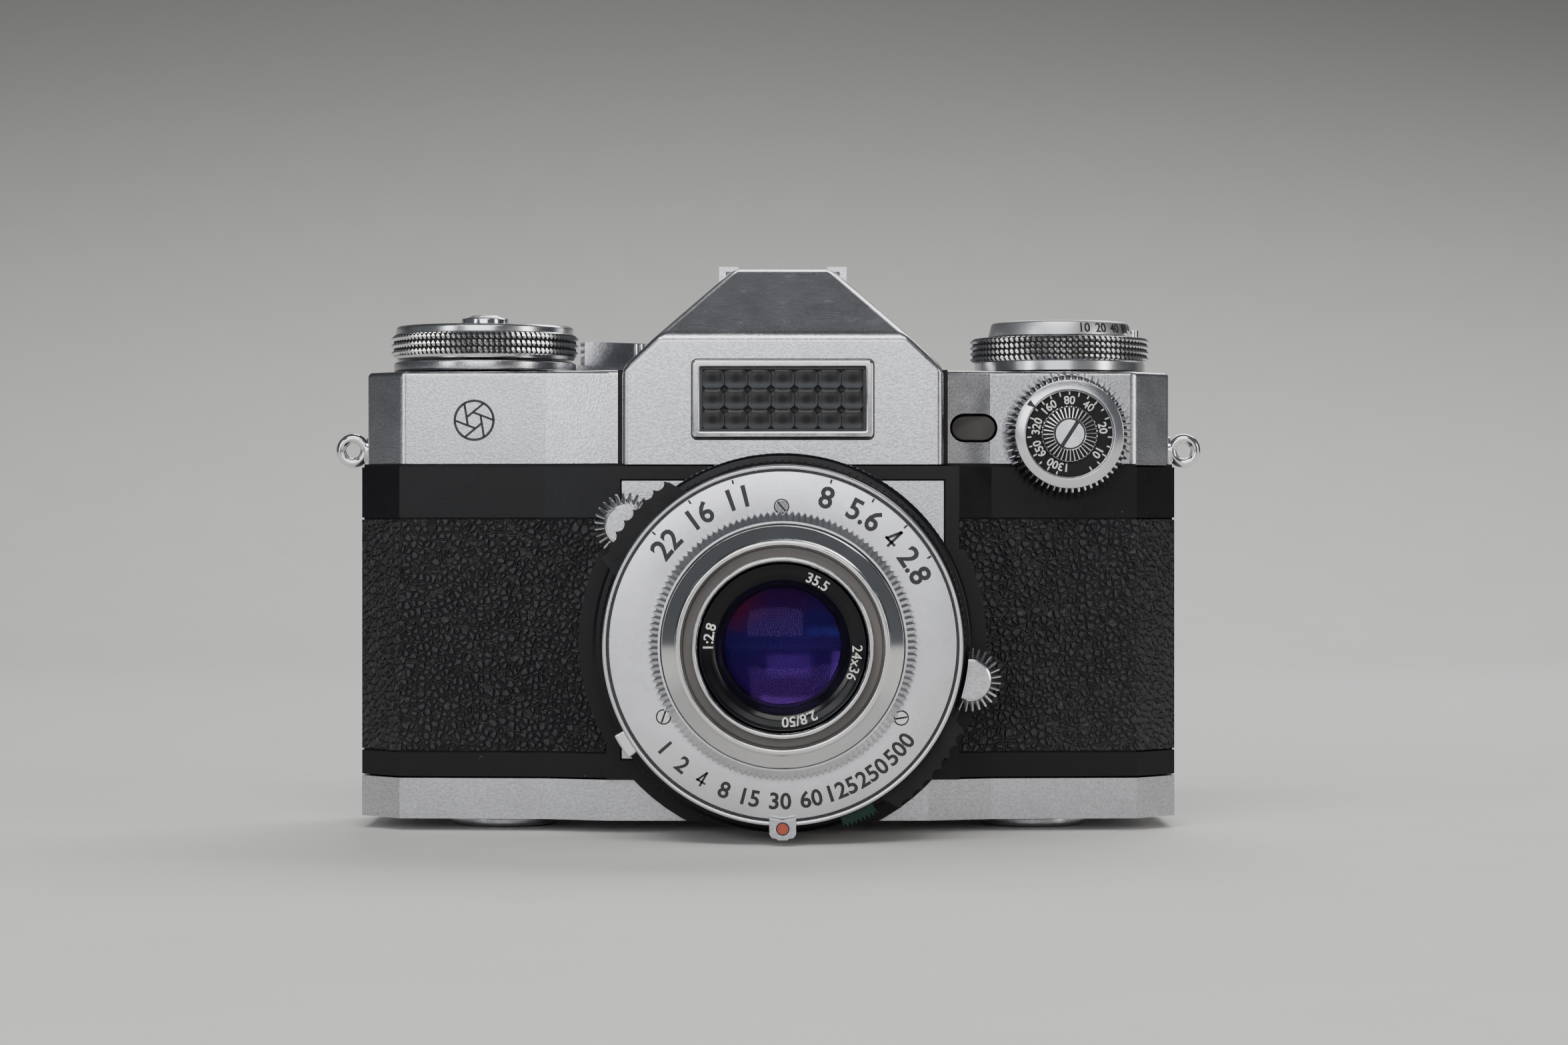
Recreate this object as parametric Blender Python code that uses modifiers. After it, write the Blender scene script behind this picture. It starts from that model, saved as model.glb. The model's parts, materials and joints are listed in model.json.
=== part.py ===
"""A 35 mm reflex camera with a leaf shutter, as an assembly of separate pieces.

Lengths here are in millimetres and become metres in the helpers. +X is the right of a person facing
the lens, +Y runs from the lens to the back, +Z is up. The origin is the middle of the footprint, on
the surface that the camera stands on.
"""

import math

import bmesh
import bpy
from mathutils import Vector

MM = 0.001
GAP = 0.3
WELD = 1e-6

# Body shell, seen from above
HALF_WIDTH = 67.0
REAR_Y = 36.5
BODY_OUTLINE = [
    (-26.0, -3.2), (26.0, -3.2), (36.4, 0.2), (60.2, 1.7), (67.0, 8.0), (67.0, 31.0),
    (62.5, REAR_Y), (-62.5, REAR_Y), (-67.0, 31.0), (-67.0, 8.0), (-60.2, 1.7), (-36.4, 0.2),
]
SKIN = 1.0
WALL = 1.2
COVER_STEP = 0.9
CORE_INSET = SKIN + GAP
FILM_Y = 27.4

# Heights of the body's bands
BASE_Z = 2.0
PAN_TOP_Z = 8.6
LEATHER_Z = (13.1, 50.8)
LOWER_BAND_Z = (8.9, 12.8)
UPPER_BAND_Z = (51.1, 59.4)
COVER_Z = (59.7, 75.0)
CORE_Z = (8.9, 59.4)

# Lens axis and the block round it
LENS_X, LENS_Z = 2.4, 31.2
BLOCK_HALF = 28.4
BLOCK_FRONT_Y = -7.0
LOBE_R = 32.8
BORE_R = 15.5
SHUTTER_R = 30.2

# Distances in front of the origin plane of the pieces stacked on the lens axis
HOUSING_H = (7.3, 16.0)
SPEED_H = (16.3, 19.0)
APERTURE_H = (19.3, 21.0)
FOCUS_H = (21.3, 24.0)
SYNC_H = (24.3, 25.4)
FACE_H = (25.7, 27.5)
RING_BORE_R = 18.8
RIM_R = 28.0
GRIP_R = 32.2
FRONT_H = 39.0

# Prism housing
PRISM_HALF = 26.0
PRISM_REAR_HALF = 15.0
PRISM_FRONT_Y = -5.0
PRISM_REAR_Y = 34.0
SHOULDER_Z = 75.3
FOLD_HALF, FOLD_Z = 20.3, 80.6
RIDGE_HALF, RIDGE_Z, RIDGE_Y = 8.1, 92.3, 10.0
SHOE_FLOOR_Z = 89.6

# Dials
DIAL_Y = 18.0
ADVANCE_X = -47.5
REWIND_X = 48.8
WHEEL_X, WHEEL_Z = 48.7, 64.6
LUG_Z = 62.3

# Mirror and its flap, both hung across the mirror box
MIRROR_HINGE = (23.5, 45.7)
MIRROR_LENGTH = 26.0
FLAP_HINGE = (25.0, 43.6)
GATE_HALF = (18.0, 12.0)

# Keys and tripod bush, which the camera stands on
KEY_X, KEY_Y, KEY_R = 44.0, 17.0, 9.0
BUSH_Y = 13.0


def collection(name):
    made = bpy.data.collections.new(name)
    bpy.context.scene.collection.children.link(made)
    return made


for old in list(bpy.data.objects):
    bpy.data.objects.remove(old)
PARTS = collection("reflex_camera")
CUTTERS = collection("cutters")


def material(name, colour, roughness, metallic=0.0, alpha=1.0):
    made = bpy.data.materials.new(name)
    made.use_nodes = True
    shader = made.node_tree.nodes["Principled BSDF"]
    shader.inputs["Base Color"].default_value = (*colour, 1.0)
    shader.inputs["Roughness"].default_value = roughness
    shader.inputs["Metallic"].default_value = metallic
    shader.inputs["Alpha"].default_value = alpha
    made.diffuse_color = (*colour, alpha)
    return made


SATIN = material("satin_chrome", (0.62, 0.62, 0.65), 0.38, 0.9)
POLISHED = material("polished_chrome", (0.8, 0.8, 0.82), 0.15, 1.0)
BLACK = material("black_enamel", (0.012, 0.012, 0.014), 0.35)
DIECAST = material("die_cast", (0.05, 0.05, 0.055), 0.6, 0.4)
LEATHER = material("leatherette", (0.018, 0.018, 0.022), 0.6)
GLASS = material("glass", (0.25, 0.2, 0.35), 0.05, 0.0, 0.4)
PLASTIC = material("black_plastic", (0.02, 0.02, 0.02), 0.45)
MIRROR = material("silvered_glass", (0.9, 0.9, 0.92), 0.03, 1.0)
CELL = material("selenium", (0.03, 0.03, 0.035), 0.3)
GREEN = material("green_enamel", (0.02, 0.09, 0.05), 0.4)


def metres(point):
    return Vector(point) * MM


def link(obj, finish):
    for holder in list(obj.users_collection):
        holder.objects.unlink(obj)
    PARTS.objects.link(obj)
    if finish:
        obj.data.materials.clear()
        obj.data.materials.append(finish)
    return obj


def place_origin(obj, point):
    """Moves the object's origin to a point, in millimetres, and leaves its shape where it is."""
    bpy.context.view_layer.update()
    obj.data.transform(obj.matrix_world)
    target = metres(point)
    obj.data.transform(obj.matrix_world.inverted() @ obj.matrix_world)
    obj.matrix_world.identity()
    for vertex in obj.data.vertices:
        vertex.co -= target
    obj.location = target
    return obj


def baked(obj):
    """The object with its modifiers applied and its transform in its vertices."""
    bpy.context.view_layer.update()
    graph = bpy.context.evaluated_depsgraph_get()
    mesh = bpy.data.meshes.new_from_object(obj.evaluated_get(graph))
    mesh.transform(obj.matrix_world)
    work = bmesh.new()
    work.from_mesh(mesh)
    bmesh.ops.remove_doubles(work, verts=work.verts, dist=WELD)
    work.to_mesh(mesh)
    work.free()
    made = bpy.data.objects.new(obj.name, mesh)
    finish = obj.data.materials[0] if obj.data.materials else None
    name = obj.name
    bpy.data.objects.remove(obj)
    PARTS.objects.link(made)
    made.name = name
    if finish and not mesh.materials:
        mesh.materials.append(finish)
    return made


def box(name, low, high, finish=None):
    bpy.ops.mesh.primitive_cube_add(size=1.0)
    made = bpy.context.object
    made.name = name
    middle = (Vector(low) + Vector(high)) / 2
    size = Vector(high) - Vector(low)
    for vertex in made.data.vertices:
        vertex.co = Vector(a * b for a, b in zip(vertex.co, metres(size)))
    made.location = metres(middle)
    return link(made, finish)


def cylinder(name, radius, low, high, centre, axis="Z", finish=None, sides=32, top_radius=None):
    """A cylinder or cone along an axis, from low to high along it; centre gives the other two places."""
    bpy.ops.mesh.primitive_cone_add(
        vertices=sides, depth=(high - low) * MM, radius1=radius * MM,
        radius2=(radius if top_radius is None else top_radius) * MM,
    )
    made = bpy.context.object
    made.name = name
    middle = (low + high) / 2
    if axis == "Z":
        made.location = metres((*centre, middle))
    elif axis == "Y":
        made.rotation_euler = (-math.pi / 2, 0, 0)
        made.location = metres((centre[0], middle, centre[1]))
    else:
        made.rotation_euler = (0, math.pi / 2, 0)
        made.location = metres((middle, *centre))
    return link(made, finish)


def turned(name, profile, at, finish=None, forward=False, steps=36, closed=True):
    """Revolves (radius, height) points. Height runs up, or, when forward, from the back to the lens's front."""
    points = [Vector((r * MM, 0, h * MM)) for r, h in profile]
    area = sum(
        a.x * b.z - b.x * a.z for a, b in zip(points, points[1:] + points[:1])
    )
    if area > 0:
        points.reverse()
    edges = [(i, i + 1) for i in range(len(points) - 1)]
    if closed:
        edges.append((len(points) - 1, 0))
    mesh = bpy.data.meshes.new(name)
    mesh.from_pydata(points, edges, [])
    made = bpy.data.objects.new(name, mesh)
    bpy.context.scene.collection.objects.link(made)
    screw = made.modifiers.new("turn", "SCREW")
    screw.steps = screw.render_steps = steps
    screw.use_merge_vertices = True
    screw.merge_threshold = WELD
    screw.use_smooth_shade = True
    made.location = metres(at)
    if forward:
        made.rotation_euler = (math.pi / 2, 0, 0)
    return link(made, finish)


def on_lens(name, profile, finish=None, steps=36, closed=True):
    """A turned piece on the lens axis, whose heights are distances in front of the origin plane."""
    return turned(name, profile, (LENS_X, 0, LENS_Z), finish, True, steps, closed)


def ring(inner, outer, heights):
    low, high = heights
    return [(inner, high), (outer, high), (outer, low), (inner, low)]


def plate(name, outline, low, high, finish=None, axis="Z"):
    """A flat outline given thickness along an axis: (x, y) points for Z, and (x, z) points for Y."""
    curve = bpy.data.curves.new(name, "CURVE")
    curve.dimensions = "2D"
    curve.fill_mode = "BOTH"
    curve.extrude = (high - low) / 2 * MM
    spline = curve.splines.new("POLY")
    spline.points.add(len(outline) - 1)
    for point, (a, b) in zip(spline.points, outline):
        point.co = (a * MM, b * MM, 0, 1)
    spline.use_cyclic_u = True
    made = bpy.data.objects.new(name, curve)
    bpy.context.scene.collection.objects.link(made)
    middle = (low + high) / 2 * MM
    if axis == "Z":
        made.location = (0, 0, middle)
    else:
        made.rotation_euler = (math.pi / 2, 0, 0)
        made.location = (0, middle, 0)
    made = baked(link(made, None))
    return link(made, finish)


def hull(name, points, finish=None):
    """The convex solid round these points."""
    work = bmesh.new()
    for point in points:
        work.verts.new(metres(point))
    bmesh.ops.convex_hull(work, input=work.verts)
    bmesh.ops.dissolve_limit(work, angle_limit=0.001, verts=work.verts, edges=work.edges)
    bmesh.ops.recalc_face_normals(work, faces=work.faces)
    mesh = bpy.data.meshes.new(name)
    work.to_mesh(mesh)
    work.free()
    made = bpy.data.objects.new(name, mesh)
    bpy.context.scene.collection.objects.link(made)
    return link(made, finish)


def boolean(target, tool, operation):
    PARTS.objects.unlink(tool)
    CUTTERS.objects.link(tool)
    tool.hide_render = True
    tool.display_type = "WIRE"
    tool.name = f"tool_{target.name}_{len(target.modifiers)}"
    made = target.modifiers.new(tool.name, "BOOLEAN")
    made.operation = operation
    made.object = tool
    return target


def cut(target, *tools):
    for tool in tools:
        boolean(target, tool, "DIFFERENCE")
    return target


def join(target, *tools):
    for tool in tools:
        boolean(target, tool, "UNION")
    return target


def keep(target, tool):
    return boolean(target, tool, "INTERSECT")


def inset(outline, distance):
    """The outline of a counter-clockwise polygon, moved inwards by a distance."""
    moved = []
    count = len(outline)
    for i in range(count):
        before, here, after = (Vector(outline[(i + k) % count]) for k in (-1, 0, 1))
        first, second = (here - before).normalized(), (after - here).normalized()
        inward = Vector((-first.y, first.x)) + Vector((-second.y, second.x))
        scale = distance / (1 + first.dot(second))
        moved.append(tuple(here + inward * scale))
    return moved


def arc(radius, start, end, count, centre=(0.0, 0.0)):
    """Points on an arc, with angles in degrees."""
    angles = [math.radians(start + (end - start) * i / count) for i in range(count + 1)]
    return [(centre[0] + radius * math.cos(a), centre[1] + radius * math.sin(a)) for a in angles]


def sector(inner, outer, start, end, count=8):
    """A ring sector round the lens axis, as (x, z) points."""
    centre = (LENS_X, LENS_Z)
    return arc(outer, start, end, count, centre) + arc(inner, end, start, count, centre)


def slot_outline(centre, width, height, count=8):
    """A slot with round ends, as points."""
    x, z = centre
    half = (width - height) / 2
    right = arc(height / 2, -90, 90, count, (x + half, z))
    left = arc(height / 2, 90, 270, count, (x - half, z))
    return right + left


FAR = 200.0


def front_only(limit_y, low_z, high_z):
    """A tool that removes what lies behind a plane."""
    return box("tool", (-FAR, limit_y, low_z), (FAR, FAR, high_z))


# ---------------------------------------------------------------- body


def make_core():
    core = plate("body_casting", inset(BODY_OUTLINE, CORE_INSET), *CORE_Z, DIECAST)
    cut(core, front_only(FILM_Y, 0, FAR))
    floor, deck = CORE_Z[0] + 1.6, CORE_Z[1] - 1.6
    chamber = [(33.5, 4.6), (59.6, 4.6), (63.4, 8.15), (63.4, FAR), (33.5, FAR)]
    cut(core, plate("tool", chamber, floor, deck))
    cut(core, plate("tool", [(-x, y) for x, y in reversed(chamber)], floor, deck))
    half_x, half_z = GATE_HALF
    cut(core, box("tool", (LENS_X - 20.3, -FAR, 13.7), (LENS_X + 20.3, 25.9, FAR)))
    cut(core, box("tool", (LENS_X - half_x, 0, LENS_Z - half_z), (LENS_X + half_x, FAR, LENS_Z + half_z)))
    cut(core, cylinder("tool", 6.8, 13.0, 49.0, (SPROCKET_X, SPROCKET_Y), sides=24))
    cut(core, cylinder("tool", 3.4, 50.0, 70.0, (REWIND_X, DIAL_Y), sides=24))
    return core


SPROCKET_X, SPROCKET_Y = -26.6, 21.0


def wrap(name, heights, finish, thickness=SKIN):
    """A strip of skin round the front and the ends of the body."""
    low, high = heights
    skin = plate(name, BODY_OUTLINE, low, high, finish)
    cut(skin, plate("tool", inset(BODY_OUTLINE, thickness), low - 1, high + 1))
    return cut(skin, front_only(FILM_Y, low - 1, high + 1))


def make_skins():
    low, high = LEATHER_Z
    left = wrap("leather_left", LEATHER_Z, LEATHER)
    cut(left, box("tool", (LENS_X - BLOCK_HALF - GAP, -FAR, low - 2), (FAR, FAR, high + 2)))
    right = wrap("leather_right", LEATHER_Z, LEATHER)
    cut(right, box("tool", (-FAR, -FAR, low - 2), (LENS_X + BLOCK_HALF + GAP, FAR, high + 2)))
    wrap("upper_band", UPPER_BAND_Z, BLACK)
    wrap("lower_band", LOWER_BAND_Z, BLACK)


def prism_points(grow=0.0):
    """The corners of the prism housing; a negative grow gives the inside."""
    low = COVER_Z[0] - (0 if grow >= 0 else 1)
    points = []
    for side in (-1, 1):
        at = lambda half, y, z: (LENS_X + side * (half + grow), y, z)
        front, rear = PRISM_FRONT_Y - grow, PRISM_REAR_Y + grow
        points += [
            at(PRISM_HALF, front, low), at(PRISM_HALF, front, SHOULDER_Z + grow * 0.4),
            at(PRISM_HALF, 12.0, low), at(PRISM_HALF, 12.0, SHOULDER_Z + grow * 0.4),
            at(FOLD_HALF, front, FOLD_Z + grow * 0.8), at(RIDGE_HALF, RIDGE_Y - grow, RIDGE_Z + grow),
            at(RIDGE_HALF, RIDGE_Y + 4, RIDGE_Z + grow), at(RIDGE_HALF, rear, 90.0 + grow),
            at(PRISM_REAR_HALF, rear, low), at(PRISM_REAR_HALF, rear, 78.0),
        ]
    return points


def make_cover():
    low, high = COVER_Z
    cover = plate("top_cover", inset(BODY_OUTLINE, COVER_STEP), low, high, SATIN)
    cut(cover, plate("tool", inset(BODY_OUTLINE, COVER_STEP + WALL), low - 1, high - WALL))
    opening = [
        (LENS_X - PRISM_HALF - GAP, -FAR), (LENS_X + PRISM_HALF + GAP, -FAR),
        (LENS_X + PRISM_HALF + GAP, 12.2), (LENS_X + PRISM_REAR_HALF + GAP, PRISM_REAR_Y + GAP),
        (LENS_X - PRISM_REAR_HALF - GAP, PRISM_REAR_Y + GAP), (LENS_X - PRISM_HALF - GAP, 12.2),
    ]
    cut(cover, plate("tool", opening, low - 1, high + 1))
    for x in (ADVANCE_X, REWIND_X):
        cut(cover, cylinder("tool", 3.4, high - 3, high + 1, (x, DIAL_Y), sides=24))
    cut(cover, cylinder("tool", 2.4, -5, 6, (WHEEL_X, WHEEL_Z), "Y", sides=24))
    cut(cover, plate("tool", slot_outline(READOUT, 7.9, 4.7), -6, 6, axis="Y"))
    cut(cover, box("tool", EYE_LOW, EYE_HIGH))
    return cover


READOUT = (33.5, 65.7)
EYE_LOW = (LENS_X - 8.5, 33.0, 62.5)
EYE_HIGH = (LENS_X + 8.5, 38.0, 73.5)


def make_prism_housing():
    housing = hull("prism_housing", prism_points(), SATIN)
    cut(housing, hull("tool", prism_points(-WALL)))
    step = box("tool", (LENS_X - 14, 13.5, SHOE_FLOOR_Z), (LENS_X + 14, PRISM_REAR_Y + 1, RIDGE_Z + 3))
    cut(housing, step)
    cut(housing, box("tool", (LENS_X - 13.6, -7, 64.6), (LENS_X + 13.6, -2, 75.8)))
    cut(housing, box("tool", EYE_LOW, (EYE_HIGH[0], 36.0, EYE_HIGH[2])))
    return housing


def make_shoe():
    """A channel with lips turned in over its floor."""
    floor = SHOE_FLOOR_Z + GAP
    top = floor + 3.0
    profile = [
        (-10.6, floor), (10.6, floor), (10.6, top), (7.4, top), (7.4, top - 0.8), (9.5, top - 0.8),
        (9.5, floor + 0.8), (-9.5, floor + 0.8), (-9.5, top - 0.8), (-7.4, top - 0.8), (-7.4, top), (-10.6, top),
    ]
    plate("accessory_shoe", [(LENS_X + x, z) for x, z in profile], 14.2, 32.2, SATIN, axis="Y")


def make_eyepiece():
    low, high = Vector(EYE_LOW), Vector(EYE_HIGH)
    frame = box("eyepiece_frame", (low.x - 2, REAR_Y + GAP, low.z - 2), (high.x + 2, 39.0, high.z + 2), BLACK)
    cut(frame, box("tool", (low.x, 30, low.z), (high.x, 45, high.z)))
    box("eyepiece_lens", (low.x + GAP, 34.6, low.z + GAP), (high.x - GAP, 38.2, high.z - GAP), GLASS)


def make_finder():
    corners = []
    for side in (-1, 1):
        corners += [
            (LENS_X + side * 14, 3.0, 52.4), (LENS_X + side * 14, 24.5, 52.4),
            (LENS_X + side * 12, 0.5, 68.0), (LENS_X + side * 12.5, 25.2, 58.0),
            (LENS_X + side * 12.5, 25.2, 72.0), (LENS_X + side * 0.6, 10.0, 86.0),
            (LENS_X + side * 0.6, 20.0, 84.0),
        ]
    hull("pentaprism", corners, GLASS)
    box("focusing_screen", (LENS_X - 18, 2.5, 49.7), (LENS_X + 18, 24.5, 51.9), GLASS)


def make_mirror_box():
    made = box("mirror_box", (LENS_X - 19.9, -3.0, 14.0), (LENS_X + 19.9, 25.6, 49.3), DIECAST)
    return cut(made, box("tool", (LENS_X - 18.8, -9, 15.0), (LENS_X + 18.8, 30, 60)))


def make_mirror():
    y, z = MIRROR_HINGE
    mirror = box("reflex_mirror", (LENS_X - 17.5, y - MIRROR_LENGTH, z - 1.0), (LENS_X + 17.5, y, z + 0.6), MIRROR)
    join(mirror, cylinder("tool", 1.0, LENS_X - 17.9, LENS_X + 17.9, (y, z), "X", sides=16))
    mirror = place_origin(baked(mirror), (LENS_X, y, z))
    mirror.rotation_euler = (math.radians(45), 0, 0)
    y, z = FLAP_HINGE
    flap = box("capping_flap", (LENS_X - 18.4, y - 0.4, z - 25.4), (LENS_X + 18.4, y + 0.4, z), BLACK)
    place_origin(flap, (LENS_X, y, z))


def make_meter():
    box("selenium_cell", (LENS_X - 13.2, -3.5, 64.9), (LENS_X + 13.2, -1.8, 75.5), CELL)
    frame = box("cell_window_frame", (LENS_X - 14.6, -6.5, 63.8), (LENS_X + 14.6, -5.3, 76.6), POLISHED)
    cut(frame, box("tool", (LENS_X - 13.5, -9, 64.9), (LENS_X + 13.5, 0, 75.5)))
    box("cell_window", (LENS_X - 13.2, -6.2, 65.2), (LENS_X + 13.2, -3.8, 75.2), GLASS)
    cylinder("meter_movement", 6.0, 60.0, 68.0, METER_AT, finish=BLACK, sides=24)
    x, y = METER_AT
    needle = box("meter_needle", (x - 0.4, y - 9.0, 68.4), (x + 0.4, y + 2.0, 69.0), BLACK)
    place_origin(needle, (x, y, 68.4))
    plate("readout_window", slot_outline(READOUT, 7.2, 4.0), 1.0, 3.4, CELL, axis="Y")


METER_AT = (36.0, 26.5)


def make_lugs():
    for side, name in ((-1, "strap_lug_left"), (1, "strap_lug_right")):
        bpy.ops.mesh.primitive_torus_add(
            major_radius=2.05 * MM, minor_radius=0.75 * MM, major_segments=20, minor_segments=8,
            location=metres((side * 70.4, DIAL_Y, LUG_Z)), rotation=(math.pi / 2, 0, 0),
        )
        lug = bpy.context.object
        lug.name = name
        link(lug, POLISHED)
        inner, outer = sorted((side * (HALF_WIDTH - COVER_STEP + GAP), side * 68.6))
        join(lug, cylinder("tool", 1.5, inner, outer, (DIAL_Y, LUG_Z), "X", sides=16))


# ---------------------------------------------------------------- front block and shutter


def make_front_block():
    left, right = LENS_X - BLOCK_HALF, LENS_X + BLOCK_HALF
    block = box("front_plate", (left, BLOCK_FRONT_Y, CORE_Z[0]), (right, -3.5, CORE_Z[1]), BLACK)
    lobe = cylinder("tool", LOBE_R, BLOCK_FRONT_Y, -3.5, (LENS_X, LENS_Z), "Y", sides=72)
    cut(lobe, box("tool", (-FAR, -FAR, 46.0), (FAR, FAR, FAR)))
    cut(lobe, box("tool", (-FAR, -FAR, -FAR), (FAR, FAR, 2.3)))
    join(block, baked(lobe))
    pocket = box("tool", (left + 2.2, -FAR, 12.0), (right - 2.2, -5.7, 57.3))
    cut(block, pocket)
    cut(block, cylinder("tool", 14.6, -9, 0, (LENS_X, LENS_Z), "Y", sides=48))
    plate_low, plate_high = (left + 2.5, -6.6, 12.3), (right - 2.5, -6.0, 57.0)
    insert = box("front_escutcheon", plate_low, plate_high, SATIN)
    cut(insert, cylinder("tool", 14.6, -9, 0, (LENS_X, LENS_Z), "Y", sides=48))


def make_shutter():
    on_lens("shutter_housing", ring(BORE_R, SHUTTER_R, HOUSING_H), BLACK, 44)
    on_lens("shutter_blades", [(0, 9.6), (15.2, 9.6), (15.2, 9.0), (0, 9.0)], BLACK, 24, False)
    on_lens("iris_diaphragm", ring(7.5, 15.2, (11.0, 11.6)), BLACK, 24)
    group = [(0, 8.5), (6.0, 8.2), (9.0, 7.5), (14.2, 7.5), (14.2, 3.6), (9.0, 3.6), (5.0, 4.1), (0, 4.3)]
    on_lens("rear_lens_group", group, GLASS, 24, False)
    low, high = FACE_H
    face = [
        (16.4, high), (RIM_R - 0.8, high), (RIM_R, high - 0.5), (RIM_R, low), (18.5, low),
        (18.5, HOUSING_H[1] + GAP), (16.4, HOUSING_H[1] + GAP),
    ]
    on_lens("shutter_face_plate", face, SATIN, 44)


def grip_lug(name, radius, angle, clear):
    """A round grip with sloping sides, cut back where the rings pass it."""
    a = math.radians(angle)
    centre = (LENS_X + radius * math.cos(a), LENS_Z + radius * math.sin(a))
    lug = cylinder(name, 3.0, -20.4, -SPEED_H[0], centre, "Y", SATIN, 24, top_radius=5.0)
    cut(lug, cylinder("tool", clear, -30, 0, (LENS_X, LENS_Z), "Y", sides=72))
    return place_origin(baked(lug), (LENS_X, 0, LENS_Z))


def make_rings():
    speed_r = 29.0
    on_lens("speed_ring", ring(RING_BORE_R, speed_r, SPEED_H), BLACK, 44)
    grip_lug("speed_grip_upper", 31.8, 144, speed_r + GAP)
    grip_lug("speed_grip_lower", 31.0, -11, speed_r + GAP)
    aperture = on_lens("aperture_ring", ring(RING_BORE_R, 28.7, APERTURE_H), BLACK, 44)
    tab = plate("tool", sector(27.5, 30.1, 208, 217, 4), -APERTURE_H[1], -APERTURE_H[0], axis="Y")
    join(aperture, tab)
    focus = on_lens("focus_ring", ring(RING_BORE_R, 28.4, FOCUS_H), BLACK, 44)
    for start in (122, -58):
        join(focus, plate("tool", sector(27.5, GRIP_R, start, start + 36, 9), -FOCUS_H[1], -FOCUS_H[0], axis="Y"))
    sync = on_lens("sync_lever", ring(RING_BORE_R, 26.5, SYNC_H), GREEN, 36)
    join(sync, plate("tool", sector(25.5, 30.0, -71, -61, 4), -SYNC_H[1], -SYNC_H[0], axis="Y"))
    catch = box("bayonet_catch", (LENS_X - 2.1, -28.7, 0.9), (LENS_X + 2.1, -27.8, 5.6), SATIN)
    place_origin(catch, (LENS_X, -28.0, 3.0))


def make_front_component():
    on_lens("focus_helicoid", ring(14.8, 16.1, (17.0, 27.4)), DIECAST)
    barrel = [
        (12.9, 19.0), (14.5, 19.0), (14.5, 27.8), (20.4, 27.8), (20.4, 31.0), (18.6, 31.5), (17.7, 31.5),
        (17.7, 34.6), (16.1, 37.8), (15.2, 37.8), (15.2, 36.4), (13.6, 36.4), (13.6, FRONT_H), (12.9, FRONT_H),
    ]
    on_lens("front_barrel", barrel, POLISHED, 44)
    on_lens("name_ring", [(12.6, 37.6), (12.6, 33.0), (9.6, 33.0), (9.6, 34.6), (10.6, 37.2)], BLACK)
    on_lens("front_element", [(0, 35.2), (5.0, 34.9), (9.3, 34.0), (9.3, 31.8), (0, 31.8)], GLASS, 24, False)
    on_lens("second_element", [(0, 28.4), (8.6, 29.4), (8.6, 26.6), (0, 27.2)], GLASS, 24, False)


# ---------------------------------------------------------------- top controls


def make_advance():
    at = (ADVANCE_X, DIAL_Y, 0)
    top = COVER_Z[1]
    dial = [
        (3.7, 82.4), (6.0, 82.4), (6.0, 81.4), (12.6, 81.4), (12.6, 82.4), (14.4, 82.9), (15.1, 82.3),
        (15.1, 81.6), (15.7, 81.5), (15.7, 77.4), (3.7, 77.4),
    ]
    turned("advance_dial", dial, at, SATIN, steps=44)
    lever = turned("advance_lever", ring(3.7, 15.2, (top + GAP, 77.1)), at, SATIN)
    arm = [(13.5, -4.0), (31.0, -1.6), (31.8, 0.0), (31.0, 2.4), (13.5, 4.0)]
    blade = [(16.4, -3.6), (31.0, -1.6), (31.8, 0.0), (31.0, 2.4), (28.0, 2.6), (16.4, -1.2)]
    for outline, high in ((arm, 76.8), (blade, 80.9)):
        piece = plate("tool", outline, top + GAP, high)
        piece.rotation_euler = (0, 0, math.radians(24))
        piece.location = metres(at)
        join(lever, piece)
    turned("counter_disc", ring(6.4, 12.2, (81.7, 82.2)), at, BLACK)
    button = [(0, 85.1), (2.6, 85.1), (3.3, 84.6), (3.3, 74.0), (0, 74.0)]
    turned("release_button", button, at, POLISHED, steps=24, closed=False)
    spool = [
        (2.0, 57.0), (9.0, 57.0), (9.0, 55.6), (6.2, 55.6), (6.2, 12.6), (9.0, 12.6), (9.0, 11.2), (2.0, 11.2),
    ]
    turned("take_up_spool", spool, at, PLASTIC, steps=24)
    sprocket = [
        (1.5, 48.4), (6.2, 48.4), (6.2, 45.6), (4.8, 45.6), (4.8, 17.4), (6.2, 17.4), (6.2, 14.0), (1.5, 14.0),
    ]
    turned("film_sprocket", sprocket, (SPROCKET_X, SPROCKET_Y, 0), DIECAST, steps=24)


def make_rewind():
    at = (REWIND_X, DIAL_Y, 0)
    knob = [
        (0, 81.6), (8.2, 81.6), (8.2, 81.0), (15.0, 81.0), (15.0, 77.0), (14.2, 76.8), (14.2, 75.3),
        (3.0, 75.3), (3.0, 62.0), (0, 62.0),
    ]
    turned("rewind_knob", knob, at, SATIN, steps=44, closed=False)
    reminder = [(8.6, 83.6), (11.3, 83.6), (11.7, 81.3), (8.6, 81.3)]
    turned("reminder_dial", reminder, at, SATIN)
    x, y = REWIND_X, DIAL_Y
    arm = [(-9.0, -2.0), (7.0, -2.6), (7.0, 2.6), (-9.0, 2.0)]
    crank = plate("rewind_crank", [(x + a, y + b) for a, b in arm], 83.9, 84.7, SATIN)
    join(crank, cylinder("tool", 1.6, 82.3, 84.4, (x - 6.0, y), sides=16))
    join(crank, cylinder("tool", 0.9, y - 2.6, y + 2.6, (x + 6.6, CRANK_Z), "Y", sides=12))
    place_origin(baked(crank), (x + 6.6, y, CRANK_Z))
    fork = cylinder("rewind_fork", 3.0, 55.8, 61.6, (x, y), finish=DIECAST, sides=24)
    cut(fork, box("tool", (x - 1.2, y - 5, 40), (x + 1.2, y + 5, 58)))


CRANK_Z = 84.3


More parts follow.
